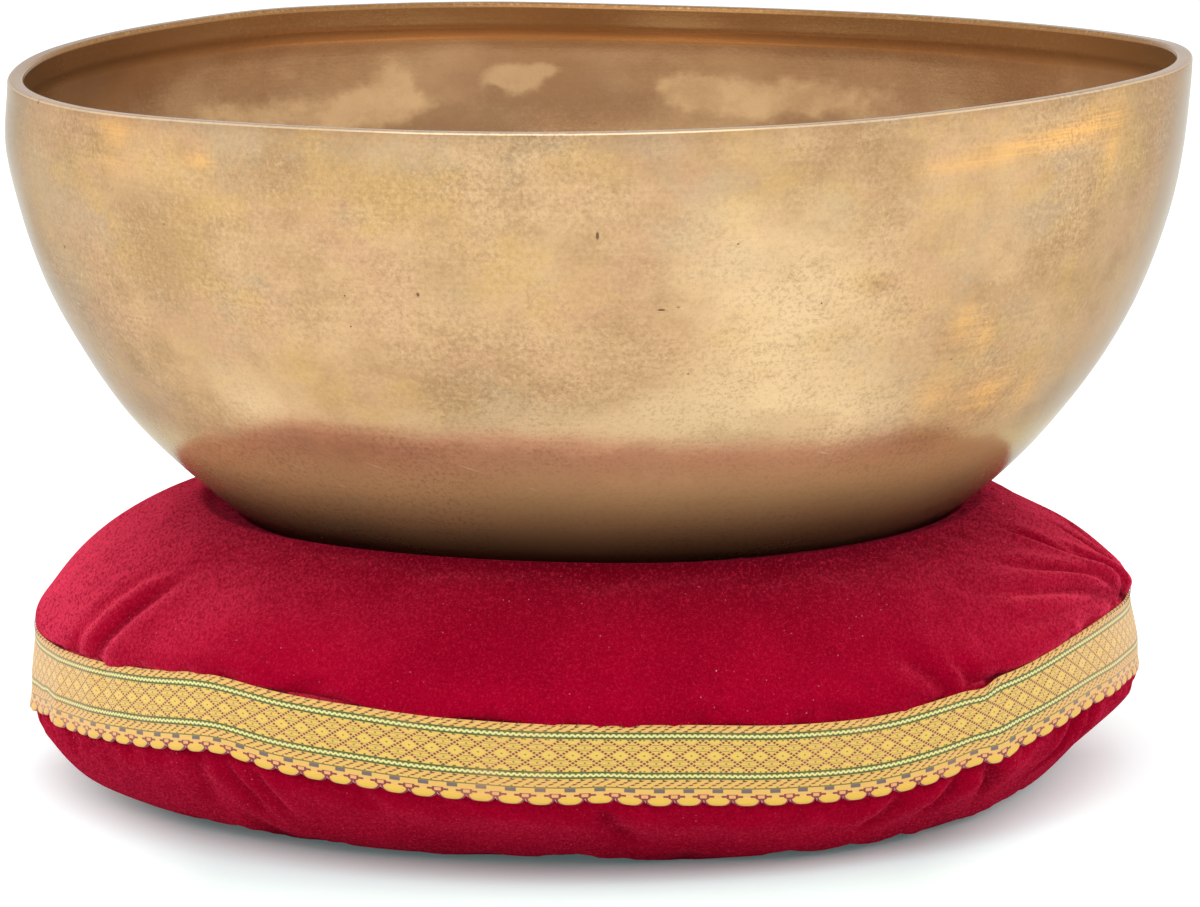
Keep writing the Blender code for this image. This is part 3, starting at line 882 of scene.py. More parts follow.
def velvet_finish(s):
    """Short crimson pile with a painted sheen at a slant, most on the upper cover, painted shade under the
    bowl and in folds, painted glints on the tips, lint and fibres.
    """
    f = Finish(bpy.data.materials.new("crimson_velvet"))
    place = f.place()
    x, y, z = f.parts(place)
    pile = f.noise(place, 1300, 3, 0.75)
    tips = f.noise(place, 2600, 1, 0.5)
    nap = f.noise(f.join(x, y * 0.3, z), 1500, 2, 0.7)
    brushed = f.noise(place, 45, 4, 0.6)
    raised = f.bump(pile * 0.6 + tips * 0.4, 0.0004, 0.6)
    slant = f.node("ShaderNodeLayerWeight", {}, {"Blend": 0.5, "Normal": raised}, "Facing")
    f.colour = f.mix(s.velvet_dark, s.velvet, pile.rise(0.20, 0.52) * 0.7 + brushed.rise(0.3, 0.7) * 0.3)
    # Painted light: the sheen is kept mostly to the cover above the ribbon, where the light falls
    above = 0.15 + 0.85 * z.rise(0.030, 0.050)
    sheen = slant**3.1 * (0.9 + 0.5 * brushed.rise(0.3, 0.6)) * above
    f.coat(s.sheen, sheen * (0.55 + 0.9 * nap.rise(0.36, 0.64)))
    # Painted shade under the bowl and in the valleys of folds
    f.coat(s.velvet_dark, f.number("painted_shade"))
    # Painted glints on the tips of the pile, stronger at a slant; the same weight serves the dark specks
    # between them
    grain = 0.3 + 0.9 * slant.rise(0.35, 0.85)
    f.coat(s.glint, (tips * 0.35 + nap * 0.65).rise(0.50, 0.68) * grain)
    f.coat(s.velvet_dark, (1 - nap.rise(0.34, 0.48)) * grain * 0.4)
    bend = f.noise(place, 260, 1, 0.5) * 0.006
    fibres = f.specks(f.join(x * 0.25 + bend, y * 0.25, z + bend), 330, 0.07, 0.012)
    fibres = fibres.either(f.specks(f.join(x + bend, y, z * 0.22 + bend), 300, 0.07, 0.012))
    dust = f.noise(place, 55, 2, 0.5).rise(0.45, 0.65)
    lint = f.specks(place, 640, 0.15, 0.22) * 0.6
    lint = lint.either(f.specks(place, 210, 0.05, 0.12)) * dust
    f.coat(s.lint, lint.either(fibres) * 0.5)
    f.set(
        Base_Color=f.colour,
        Roughness=1.0,
        Specular_IOR_Level=0.0,
        Sheen_Weight=0.2,
        Sheen_Roughness=0.45,
        Sheen_Tint=s.sheen_tint,
        Normal=raised,
    )
    return f.owner


def brocade_finish(s, scallop):
    """The woven bands of the ribbon, from its upper edge down, in millimetres along and across it.

    Twill, a green-edged zigzag, a field of dotted lozenges with yellow floats, a second zigzag and twill, a
    green line, grey blocks, a chain of dark squares and the yellow ovals of the scallops.
    """
    repeat, lozenge_width, lozenge_height, middle = 2.76, 5.6, 3.75, 7.4
    f = Finish(bpy.data.materials.new("gold_brocade"))
    u, v, _ = f.parts(f.node("ShaderNodeUVMap", {"uv_map": "weave"}, {}))
    along = u * 1000
    down = v * 1000
    weft = (down / 0.32).tent()
    warp = (along / 0.42 + down / 0.64).tent()

    def twill(low, high):
        dash = (along / repeat + down * 0.733).tent().rise(0.62, 0.72)
        return dash * (down / 0.5).tent().rise(0.25, 0.45) * down.band(low, high, 0.06)

    def zigzag(height):
        off = down - height
        lines = abs(off).band(0.45, 0.85, 0.05)
        teeth = (along / repeat).tent().rise(0.76, 0.84) * abs(off).band(0.88, 1.2, 0.05)
        pale = 1 - abs(off).rise(0.40, 0.46)
        wave = abs(off - (along / (repeat / 2)).tent() * 0.52 + 0.26)
        hollows = wave.rise(0.26, 0.38) * pale
        return lines.either(teeth).either(hollows * 0.95), pale

    field = down.band(3.45, 11.35, 0.06)
    first = along / lozenge_width + (down - middle) / lozenge_height
    second = along / lozenge_width - (down - middle) / lozenge_height
    line_one, line_two = first.tent(), second.tent()
    dots_one = line_one.rise(0.80, 0.86) * (second * 4).tent().rise(0.32, 0.48)
    dots_two = line_two.rise(0.80, 0.86) * (first * 4).tent().rise(0.32, 0.48)
    lattice = dots_one.either(dots_two) * field
    inner = line_one.either(line_two)
    row = abs(first.math("FLOOR", first) - second.math("FLOOR", second))
    main = (1 - row).either(0.0)
    floats = (1 - inner.rise(0.60, 0.70)) * field
    heart = (1 - inner.rise(0.08, 0.15)) * field
    beside = abs(abs(down - middle) - lozenge_height / 2)
    hatch = beside.band(0.62, 0.80, 0.04).either(beside.band(0.24, 0.38, 0.04) * 0.6)
    hatch = hatch * (1 - inner.rise(0.66, 0.74)) * (1 - 0.5 * main) * field

    f.colour = f.mix(s.gold, s.rose, warp.rise(0.4, 0.9) * 0.6)
    f.coat(s.yellow, floats * (0.5 + 0.2 * main) * (0.7 + 0.3 * weft))
    f.coat(s.olive, hatch * 0.8)
    f.coat(s.green, heart * 0.8)
    dashes = twill(0.12, 1.62).either(twill(13.2, 14.75))
    knots = lattice.either(dashes)
    f.coat(s.maroon, knots * 0.92)
    ridges = floats * 0.5
    for height in ZIGZAGS:
        lines, pale = zigzag(height)
        f.coat(s.cream, pale)
        f.coat(s.green, lines * 0.95)
        ridges = ridges + pale * 0.6
    teeth = (along / repeat).tent().rise(0.78, 0.86) * down.band(14.85, 15.15, 0.05)
    f.coat(s.green, down.band(15.15, 15.42, 0.05).either(teeth) * 0.85)
    part = (along / scallop).math("FRACT", along / scallop)
    from_gap = (1 - (along / scallop).tent()) * (scallop / 2)
    block = part.band(0.315, 0.685, 0.01) * down.band(15.45, 16.35, 0.05)
    f.coat(s.slate, block * 0.92)
    square = (1 - from_gap.rise(0.76, 0.84)) * down.band(16.88, 17.62, 0.05)
    border = (1 - from_gap.rise(1.34, 1.42)) * down.band(16.70, 17.70, 0.05)
    link = (1 - from_gap.rise(2.56, 2.66)) * down.band(16.98, 17.46, 0.05)
    f.coat(s.wine, border.either(link) * (1 - square) * 0.95)
    f.coat(s.rose, square * 0.9)
    across = abs(part - 0.5) * scallop / (3.0 - 0.7 * down.rise(18.0, 19.4))
    spread = across**2.6 + abs((down - 18.45) / 0.98) ** 2.4
    oval = down.rise(17.6, 17.7) * (1 - spread.rise(0.88, 1.0))
    f.coat(s.wine, down.rise(17.6, 17.7) * (1 - oval) * 0.95)
    f.coat(s.amber, oval * (0.75 + weft * 0.25))
    f.coat(s.rose, oval * across.rise(0.70, 0.95) * 0.7)
    faded = f.noise(f.place(), 60, 3, 0.6).rise(0.5, 0.8) * 0.2
    # Painted reflection: towards both ends, seen at a slant, the ribbon takes on the red of the velvet
    ends = abs(f.parts(f.place())[0] + 0.0045).rise(0.105, 0.138) * 0.3
    f.coat(s.rose, faded.either(ends))
    f.coat(s.olive, (1 - weft.rise(0.0, 0.5)) * 0.16)
    relief = ridges + weft * 0.4 + warp * 0.2 - knots * 0.5 + oval * 0.6
    f.set(
        Base_Color=f.colour,
        Roughness=0.52 - 0.12 * floats,
        Specular_IOR_Level=0.4,
        Sheen_Weight=0.15,
        Normal=f.bump(relief, 0.00018, 0.8),
    )
    return f.owner


def thread_finish(name, tint):
    """Matt sewing thread with a twist."""
    f = Finish(bpy.data.materials.new(name))
    twist = f.noise(f.place(), 3000, 2, 0.6)
    dark = tuple(0.5 * part for part in tint)
    f.set(Base_Color=f.mix(dark, tint, twist.rise(0.3, 0.6)), Roughness=0.8, Sheen_Weight=0.2)
    return f.owner


def floor_finish(s):
    """Matt white that the camera and reflections see a little brighter, most of all away from the object."""
    f = Finish(bpy.data.materials.new("studio_floor"))
    x, y, _ = f.parts(f.place())
    beside = (abs(x + 0.008) + abs(y) * 0.23).rise(0.106, 0.146)
    away = ((x * x + y * y) ** 0.5).rise(0.14, 0.24).either(beside)
    f.set(
        Base_Color=s.floor,
        Roughness=1.0,
        Specular_IOR_Level=0.0,
        Emission_Color=f.mix((0, 0, 0), f.mix(s.near_lift, s.far_lift, away), f.seen()),
        Emission_Strength=1.0,
    )
    return f.owner


def bowl_section(s):
    """The bowl's section from inner to outer middle: radii, depths below the rim and a mark for the inside.

    The wall is an ellipse levelled off at the base. The lip thickens it inwards near the rim by a soft step.
    """
    rounded, bottom = s.round_depth, s.rim_height - s.base_height
    inner_radius, inner_round = s.rim_radius - s.wall, rounded - s.wall
    lip_end = s.lip_height + s.lip_step
    turn = np.linspace(math.pi / 2, math.asin(lip_end / inner_round), INSIDE_ROWS)[1:]
    inside = inner_radius * np.cos(turn), soft_min(inner_round * np.sin(turn), bottom - s.wall, s.base_round)
    drop = np.linspace(lip_end, s.rim_edge, LIP_ROWS)[1:]
    thicker = (s.lip - s.wall) * smooth(lip_end, s.lip_height, drop)
    lip = inner_radius * np.sqrt(1 - (drop / inner_round) ** 2) - thicker, drop
    corner = np.linspace(0, math.pi / 2, EDGE_ROWS)
    inner_edge = s.rim_radius - s.lip + s.rim_edge * (1 - np.cos(corner)), s.rim_edge * (1 - np.sin(corner))
    outer_edge = s.rim_radius - s.rim_edge * (1 - np.sin(corner)), s.rim_edge * (1 - np.cos(corner))
    turn = np.linspace(math.asin(s.rim_edge / rounded), math.pi / 2, OUTSIDE_ROWS)[1:-1]
    outside = s.rim_radius * np.cos(turn), soft_min(rounded * np.sin(turn), bottom, s.base_round)
    parts = (inside, lip, inner_edge, outer_edge, outside)
    radius, depth = (np.concatenate([part[i] for part in parts]) for i in (0, 1))
    within = np.zeros(len(radius))
    within[: len(inside[0]) + len(lip[0])] = 1
    return radius, depth, within


def lump_height(table, angle, height):
    """How far a surface swells out: the sum of a table's bell curves over angle and height."""
    total = 0
    for turn, high, wide, tall, swell in table:
        across, up = turn_from(turn, angle) / math.radians(wide), (height - high / 1000) / (tall / 1000)
        total = total + swell / 1000 * np.exp(-(across**2) - up**2)
    return total


def hammered(points, s):
    """Bowl points moved in or out along the ellipsoid's normal by hammer marks, dings and broad unevenness.

    A mark is a shallow hollow round one of the points of a golden-angle spiral over the wall: its height
    grows with the square of the distance to the nearest point. All of it fades near the rim and the base.
    """
    rng = np.random.default_rng(HAMMER_SEED)
    number = np.arange(s.hammer_marks)
    turn = np.arcsin((number + 0.5) / s.hammer_marks)
    jitter = rng.uniform(-HAMMER_JITTER, HAMMER_JITTER, s.hammer_marks)
    angle = number * math.pi * (3 - math.sqrt(5)) + jitter
    marks = around(angle, s.rim_radius * np.cos(turn), s.rim_height - s.round_depth * np.sin(turn))
    flat = points.reshape(-1, 3)
    apart = (flat**2).sum(1)[:, None] + (marks**2).sum(1) - 2 * flat @ marks.T
    spacing = math.tau * s.rim_radius**2 / s.hammer_marks
    hollow = np.clip(apart.min(axis=1) / (0.4 * spacing), 0, 1.5)
    middle = np.array([0, 0, s.rim_height])
    out = (flat - middle) / [s.rim_radius**2, s.rim_radius**2, s.round_depth**2]
    out /= np.maximum(np.linalg.norm(out, axis=1, keepdims=True), 1e-9)
    height = s.hammer_depth * (hollow - 1) + s.unevenness * unevenness(flat, s.uneven_size, WALL_SEED)
    height += lump_height(DINGS, np.arctan2(flat[:, 1], flat[:, 0]), flat[:, 2])
    height *= 1 - s.rim_calm * smooth(s.rim_fade, 0.0, s.rim_height - flat[:, 2])
    height *= smooth(0.0, s.base_fade, flat[:, 2] - s.base_height)
    return (flat + height[:, None] * out).reshape(points.shape)


class OBJECT_OT_singing_bowl_bowl(bpy.types.Operator):
    """Build the hammered bowl as one turned shell"""

    bl_idname = "object.singing_bowl_bowl"
    bl_label = "Bowl"

    def execute(self, context):
        s = context.scene.singing_bowl.bowl
        columns = BOWL_COLUMNS
        radius, depth, within = bowl_section(s)
        angle = np.arange(columns) * math.tau / columns
        points = hammered(around(angle, radius[:, None], s.rim_height - depth[:, None]), s)
        points[..., 2] += round_curve(RIM_WAVE, angle) * smooth(s.wave_depth, 0.0, depth)[:, None]
        inward = round_curve(RIM_TURN, angle) * smooth(s.turn_depth, 0.0, depth)[:, None]
        points += around(angle, inward, 0.0)
        poles = [[0, 0, s.base_height + s.wall], [0, 0, s.base_height]]
        inside = np.concatenate([np.repeat(within, columns), [1, 0]])
        below = np.concatenate([np.repeat(depth, columns), [depth[0], depth[-1]]])
        piece = add_piece(
            "singing_bowl",
            np.vstack([points.reshape(-1, 3), poles]),
            turned_faces(len(radius), columns),
            bronze_finish(s),
            values={"inside": inside, "depth": below},
        )
        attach(piece, "bowl")
        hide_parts("bowl")
        return {"FINISHED"}


def cover_section(s, bowl, ribbon):
    """The even cushion's section: radii, heights, rows held still, shares of the foot's spread, crest radii.

    From the middle of the dent: the bowl's ellipse, a rolled crest, the crown's superellipse, the straight
    band behind the ribbon, the belly's superellipse and the flat foot. The crest is a cubic between its
    neighbours.
    """
    top = s.seam_height + ribbon.width / 2
    low = s.seam_height - ribbon.width / 2
    seat_radius, seat_round = bowl.rim_radius + s.seat_gap, bowl.round_depth + s.seat_gap
    bottom = bowl.rim_height - bowl.base_height + s.seat_gap

    def dome(radius):
        share = np.clip((radius - s.dome_flat) / (s.radius - s.dome_flat), 0, 1)
        return top + s.dome_height * (1 - share**s.dome_power) ** (1 / s.dome_power)

    turn = np.linspace(0, math.pi / 2, WALL_SAMPLES)
    wall_radius, wall_height = seat_radius * np.cos(turn), bowl.rim_height - seat_round * np.sin(turn)
    contact = np.argmax((wall_radius < s.radius) & (wall_height < dome(wall_radius)))
    crest_turn = turn[contact] + s.crest_run / seat_radius
    turn = np.linspace(math.pi / 2, crest_turn, DENT_ROWS)[1:]
    below = soft_min(seat_round * np.sin(turn), bottom, bowl.base_round)
    dent = seat_radius * np.cos(turn), bowl.rim_height - below
    start = np.array([dent[0][-1], dent[1][-1]])
    end_radius = wall_radius[contact] + s.crest_run
    end = np.array([end_radius, dome(end_radius)])
    up = np.array([wall_radius[contact], wall_height[contact]]) - start
    down = np.array([s.crest_run, dome(end_radius + s.crest_run) - end[1]])
    reach = np.linalg.norm(end - start)
    begin, leave, finish, arrive = cubic_shares(np.linspace(0, 1, CREST_ROWS)[1:, None])
    crest = begin * start + leave * reach * up / np.linalg.norm(up)
    crest = crest + finish * end + arrive * reach * down / np.linalg.norm(down)
    first = math.acos((end_radius - s.dome_flat) / (s.radius - s.dome_flat))
    crown_radius = s.dome_flat + (s.radius - s.dome_flat) * np.cos(np.linspace(first, 0, CROWN_ROWS)[1:])
    crown = crown_radius, dome(crown_radius)
    band_height = np.linspace(top - BAND_INSET, low + BAND_INSET, BAND_ROWS)
    band = np.full(BAND_ROWS, s.radius - s.recess), band_height
    fall = np.sin(np.linspace(0, math.pi / 2, BELLY_ROWS))
    out = (1 - fall**s.belly_power) ** (1 / s.belly_power)
    belly = s.foot_radius + (s.radius - s.foot_radius) * out, low * (1 - fall)
    foot = np.linspace(s.foot_radius, 0, FOOT_ROWS)[1:-1], np.zeros(FOOT_ROWS - 2)
    parts = (dent, crest.T, crown, band, belly, foot)
    held = np.concatenate([np.full(len(part[0]), i in (0, 3, 5), float) for i, part in enumerate(parts)])
    radius, height = (np.concatenate([part[i] for part in parts]) for i in (0, 1))
    spread = np.zeros(len(radius) - len(out) - len(foot[0]))
    spread = np.concatenate([spread, 1 - out, foot[0] / s.foot_radius])
    return radius, height, held, spread, (wall_radius[contact], end_radius)


def settle(points, s, bowl, ribbon, crest):
    """Moves points of the even cushion to where it has settled: to one side, tipped, with a wavy waist.

    The dent stays on the bowl's axis and the foot flat on the floor. The waist's wave fades to the crown and
    the floor, the crown's tilt to the dent and the waist, and the lean to the crest.
    """
    x, y, z = np.moveaxis(points, -1, 0)
    angle, radius = np.arctan2(y, x), np.hypot(x, y)
    top = s.seam_height + ribbon.width / 2
    low = s.seam_height - ribbon.width / 2
    free = smooth(crest[1], s.radius, radius)
    under = smooth(bowl.base_height, low, z)
    shift = 1 - (1 - free) * (1 - under)
    wave = free * smooth(0.0, low, z) * smooth(top + s.dome_height, top, z)
    crown = smooth(crest[0], crest[1], radius) * (1 - free) * (1 - under)
    to_right, to_front = np.cos(angle), np.maximum(-np.sin(angle), 0)
    fall = s.tilt * to_right + s.sag * to_right**2 - s.front * to_front**2
    rise = round_curve(WAIST_WAVE, angle) * wave - fall * crown
    inward = round_curve(LEAN, angle) * free * smooth(s.seam_height - LEAN_START, top, z)
    lean = around(angle, inward, 0.0)
    return np.stack([x + s.shift * shift - lean[..., 0], y - lean[..., 1], z + rise], axis=-1)


def fold_height(angle, run, radius, height, waist):
    """How far folds raise or sink the velvet, from the distance to each fold's line and the place along it.

    A fold is a valley exp(-d^1.8) with a lesser ridge beside it on both sides, and fades at its ends.
    """
    upper = height > waist
    total = np.zeros(np.broadcast_shapes(angle.shape, radius.shape))
    for turn_a, high_a, turn_b, high_b, wide, deep in FOLDS:
        side = upper[:, 0] if high_a / 1000 > waist else ~upper[:, 0]
        order = np.argsort(height[side, 0])
        run_a, run_b = np.interp([high_a / 1000, high_b / 1000], height[side, 0][order], run[side, 0][order])
        line = np.array([math.radians(turn_b - turn_a) * radius.max(), run_b - run_a])
        size = np.linalg.norm(line)
        across_x, across_y = turn_from(turn_a, angle) * radius, run - run_a
        share = (across_x * line[0] + across_y * line[1]) / size**2
        apart = np.abs(across_x * line[1] - across_y * line[0]) / size / (wide / 1000)
        taper = smooth(-0.25, 0.25, share) * smooth(1.3, 0.6, share) * side[:, None]
        valley = -np.exp(-(apart**1.8)) + 0.35 * np.exp(-(((apart - 2.1) / 1.4) ** 2))
        total += deep / 1000 * valley * taper
    return FOLD_LIMIT * np.tanh(total / FOLD_LIMIT)


def surface_normals(points):
    """Outward normals of a turned grid of points from the differences between neighbours."""
    down = np.gradient(points, axis=0)
    along = np.roll(points, -1, axis=1) - np.roll(points, 1, axis=1)
    normal = np.cross(down, along)
    return normal / np.maximum(np.linalg.norm(normal, axis=-1, keepdims=True), 1e-12)


def stuffing_push(points, poles, held, most, material):
    """How far the stuffing pushes the velvet out: a short cloth simulation with pressure and no gravity.

    It runs on every second row and column of the grid, and the points between move by the mean of their
    neighbours. Held rows stay, and no point moves further than most.
    """
    coarse = points[::2, ::2]
    rows, columns = coarse.shape[:2]
    before = np.vstack([coarse.reshape(-1, 3), poles])
    piece = add_piece("stuffing", before, turned_faces(rows, columns), material)
    group = piece.vertex_groups.new(name="held")
    still = np.concatenate([np.repeat(held[::2] > 0, columns), [True, True]])
    group.add(np.flatnonzero(still).tolist(), 1.0, "REPLACE")
    cloth = piece.modifiers.new("Stuffing", "CLOTH")
    for key, value in STUFFING.items():
        setattr(cloth.settings, key, value)
    cloth.settings.effector_weights.gravity = 0
    cloth.settings.vertex_group_mass = "held"
    cloth.point_cache.frame_start = 1
    cloth.point_cache.frame_end = STUFFING_FRAMES
    scene = bpy.context.scene
    for step in range(1, STUFFING_FRAMES + 1):
        scene.frame_set(step)
    result = piece.evaluated_get(bpy.context.evaluated_depsgraph_get())
    after = np.empty(before.size)
    result.data.vertices.foreach_get("co", after)
    move = after.reshape(-1, 3) - before
    mesh = piece.data
    bpy.data.objects.remove(piece)
    bpy.data.meshes.remove(mesh)
    scene.frame_set(1)
    far = np.linalg.norm(move, axis=1, keepdims=True)
    move *= np.minimum(1, most / np.maximum(far, 1e-12))
    move = move[:-2].reshape(rows, columns, 3)
    move = np.stack([move, (move + np.roll(move, -1, axis=1)) / 2], axis=2).reshape(rows, -1, 3)
    row = np.arange(len(points)) // 2
    after = np.minimum(row + np.arange(len(points)) % 2, rows - 1)
    return (move[row] + move[after]) / 2


def clear_of_bowl(points, s, bowl):
    """Presses velvet that reaches into the bowl back to its seat on the bowl's ellipsoid, and to the floor.

    The share of the ellipsoid that a point reaches becomes the greater of itself and 1, with a rounded
    corner. Nearer the axis than the wall, on the flat base, points stay.
    """
    flat_radius, wall_start, corner = 0.05, 0.08, 0.002
    middle = np.array([0, 0, bowl.rim_height])
    sizes = np.array([bowl.rim_radius, bowl.rim_radius, bowl.round_depth]) + s.seat_gap
    reach = np.linalg.norm((points - middle) / sizes, axis=-1)
    wall = smooth(flat_radius, wall_start, np.hypot(points[..., 0], points[..., 1]))
    out = 1 + wall * (-soft_min(-reach, -1.0, corner) / reach - 1)
    points[:] = middle + (points - middle) * out[..., None]
    points[..., 2] = np.maximum(points[..., 2], 0)


class OBJECT_OT_singing_bowl_cushion(bpy.types.Operator):
    """Build the velvet cushion with its dent, folds and stuffing"""

    bl_idname = "object.singing_bowl_cushion"
    bl_label = "Cushion"

    def execute(self, context):
        settings = context.scene.singing_bowl
        s, bowl, ribbon = settings.cushion, settings.bowl, settings.ribbon
        columns = CUSHION_COLUMNS
        radius, height, held, spread, crest = cover_section(s, bowl, ribbon)
        angle = np.arange(columns) * math.tau / columns
        wider = spread[:, None] * round_curve(FOOT_WAVE, angle)
        even = around(angle, radius[:, None] + wider, height[:, None])
        run = np.concatenate([[0], np.cumsum(np.hypot(np.diff(radius), np.diff(height)))])[:, None]
        folds = fold_height(angle[None, :], run, radius[:, None], height[:, None], s.seam_height)
        lift = folds + lump_height(LUMPS, angle, height[:, None])
        lift = lift + s.softness * unevenness(even, SOFT_SIZE, VELVET_SEED)
        over = np.abs(height - s.seam_height) - ribbon.width / 2 - CINCH_RISE
        lift = lift + s.cinch * np.exp(-((over / CINCH_RUN) ** 2))[:, None]
        slack = SLACK * s.swell
        lift = lift - slack * smooth(0.0, SWELL_FADE, height)[:, None]
        free = smooth(crest[1], crest[1] + CREST_FADE, radius) * smooth(0.0, FOOT_FADE, height)
        free = free * (1 - held)
        lifted = even + (lift * free[:, None])[..., None] * surface_normals(even)
        points = settle(lifted, s, bowl, ribbon, crest)
        # Painted shade: darker velvet round the bowl's seat, most in front where the bowl's shadow falls, and
        # in the valleys of folds
        painted_shade = smooth(crest[1] + s.shade_reach, crest[0], radius)
        painted_shade = painted_shade * smooth(s.seam_height, bowl.base_height, height)
        side = -s.back_shade - s.front_shade * np.minimum(np.sin(angle), 0)
        painted_shade = painted_shade[:, None] * (s.dent_shade + smooth(0.0, crest[0], radius)[:, None] * side)
        painted_shade = np.maximum(painted_shade, s.fold_shade * smooth(0.0001, 0.0020, -folds))
        poles = [[0, 0, height[0]], [s.shift, 0, 0]]
        finish = velvet_finish(s)
        points += stuffing_push(points, poles, held, s.swell, finish)
        clear_of_bowl(points, s, bowl)
        piece = add_piece(
            "velvet_cushion",
            np.vstack([points.reshape(-1, 3), poles]),
            turned_faces(len(radius), columns),
            finish,
            values={"painted_shade": np.append(painted_shade, [s.dent_shade, 0])},
        )
        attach(piece, "cushion")
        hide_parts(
            "cushion_top_panel", "cushion_bottom_panel", "cushion_filling", "waist_seam_thread"
        )
        return {"FINISHED"}


def buckle(angle, share):
    """How far the ribbon stands off and rises at an angle and a share of its width from the upper edge.

    Each buckle is a bell curve along the ribbon that grows with the square of the nearness to one edge.
    """
    off = np.zeros(np.broadcast_shapes(angle.shape, share.shape))
    rise = np.zeros_like(off)
    upper, lower = (1 - share) ** 2, share**2
    for turn, wide, off_upper, off_lower, rise_upper, rise_lower in BUCKLES:
        bell = np.exp(-((turn_from(turn, angle) / math.radians(wide)) ** 2))
        off += bell * (upper * off_upper + lower * off_lower)
        rise += bell * (upper * rise_upper + lower * rise_lower)
    for (height, number, phase), near in ((UPPER_RIPPLE, upper), (LOWER_RIPPLE, lower)):
        off += height * (1 + np.sin(angle * number + phase)) * near
    return off / 1000, rise / 1000


def ribbon_lift(turn, ribbon):
    """How far the ribbon stands off at an angle along it, as it climbs onto its own first end."""
    lap = ribbon.lap * math.tau / ribbon.scallops
    return (ribbon.thickness + ribbon.lap_gap) * smooth(math.tau - 2 * lap, math.tau - lap / 2, turn)


def ribbon_points(turn, down, off, settings, crest):
    """Places on the ribbon from angles along it, distances below its upper edge and heights off its back."""
    s, bowl, ribbon = settings.cushion, settings.bowl, settings.ribbon
    angle = turn + ribbon.lap_angle
    stand, rise = buckle(angle, down / ribbon.width)
    radius = s.radius + ribbon.gap + ribbon_lift(turn, ribbon) + stand + off
    height = s.seam_height + ribbon.width / 2 - down + rise
    level = np.clip(height, s.seam_height - ribbon.waist, s.seam_height + ribbon.waist)
    even = around(angle, s.radius, level)
    placed = settle(even, s, bowl, ribbon, crest)
    outward = around(angle, radius - s.radius, 0.0)
    outward[..., 2] += height - even[..., 2]
    return placed + outward


class OBJECT_OT_singing_bowl_ribbon(bpy.types.Operator):
    """Build the scalloped brocade ribbon, lapped at the back"""

    bl_idname = "object.singing_bowl_ribbon"
    bl_label = "Ribbon"

    def execute(self, context):
        settings = context.scene.singing_bowl
        s = settings.ribbon
        crest = cover_section(settings.cushion, settings.bowl, s)[-1]
        pitch = math.tau * (settings.cushion.radius + s.thickness) / s.scallops
        columns = (s.scallops + s.lap) * SCALLOP_COLUMNS + 1
        scallop = np.arange(columns) / SCALLOP_COLUMNS
        turn = scallop * math.tau / s.scallops
        step = np.abs(2 * (scallop % 1) - 1)
        edge = s.width - s.straight
        scalloped = np.linspace(s.straight, s.width, SCALLOP_ROWS)
        down = np.concatenate([np.linspace(0, s.plain, STRAIGHT_ROWS), scalloped])
        reach = (edge - s.notch * step**4) / edge
        below = np.maximum(down[:, None] - s.straight, 0)
        shown = np.minimum(down[:, None], s.straight) + below * reach
        oval = np.clip(1 - (step / s.oval_width) ** 2 - ((shown - s.oval_middle) / s.oval_height) ** 2, 0, 1)
        cord = sum(np.exp(-(((shown - height / 1000) / s.cord_height) ** 2)) for height in ZIGZAGS)
        relief = s.thickness + s.oval_relief * np.sqrt(oval) + s.cord_relief * cord
        relief[[0, -1]] *= s.edge_share
        outer = ribbon_points(turn, shown, relief, settings, crest)
        back = shown[::-1][::3]
        inner = ribbon_points(turn, back, 0.0, settings, crest)
        points = np.concatenate([outer, inner])
        rows = len(points)
        uv = np.stack(np.broadcast_arrays(scallop * pitch, np.concatenate([shown, back])), axis=-1)
        ends = np.arange(rows) * columns
        caps = [ends.tolist(), (ends + columns - 1)[::-1].tolist()]
        faces = [*grid_faces(rows, columns, True, False).tolist(), *caps]
        piece = add_piece("brocade_ribbon_weave", points, faces, brocade_finish(s, 1000 * pitch), uv=uv)
        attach(piece, "cushion")
        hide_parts("brocade_ribbon")
        return {"FINISHED"}


def stitch_tubes(path, radius, sides=6):
    """Thin tubes along many short paths at once: circles set square to each path's direction."""
    way = np.gradient(path, axis=1)
    way /= np.linalg.norm(way, axis=-1, keepdims=True)
    out = path * [1, 1, 0]
    out /= np.linalg.norm(out, axis=-1, keepdims=True)
    side = np.cross(way, out)
    side /= np.linalg.norm(side, axis=-1, keepdims=True)
    up = np.cross(side, way)
    turn = np.arange(sides) * math.tau / sides
    ring = side[:, :, None] * np.cos(turn)[:, None] + up[:, :, None] * np.sin(turn)[:, None]
    points = path[:, :, None] + radius * ring
    stitches, steps = path.shape[:2]
    quads = grid_faces(steps, sides, False, True)
    first = np.arange(stitches) * steps * sides
    start, end = np.arange(sides)[::-1], (steps - 1) * sides + np.arange(sides)
    faces = [*(quads + first[:, None, None]).reshape(-1, 4).tolist()]
    faces += [*(start + first[:, None]).tolist(), *(end + first[:, None]).tolist()]
    return points, [face[::-1] for face in faces]


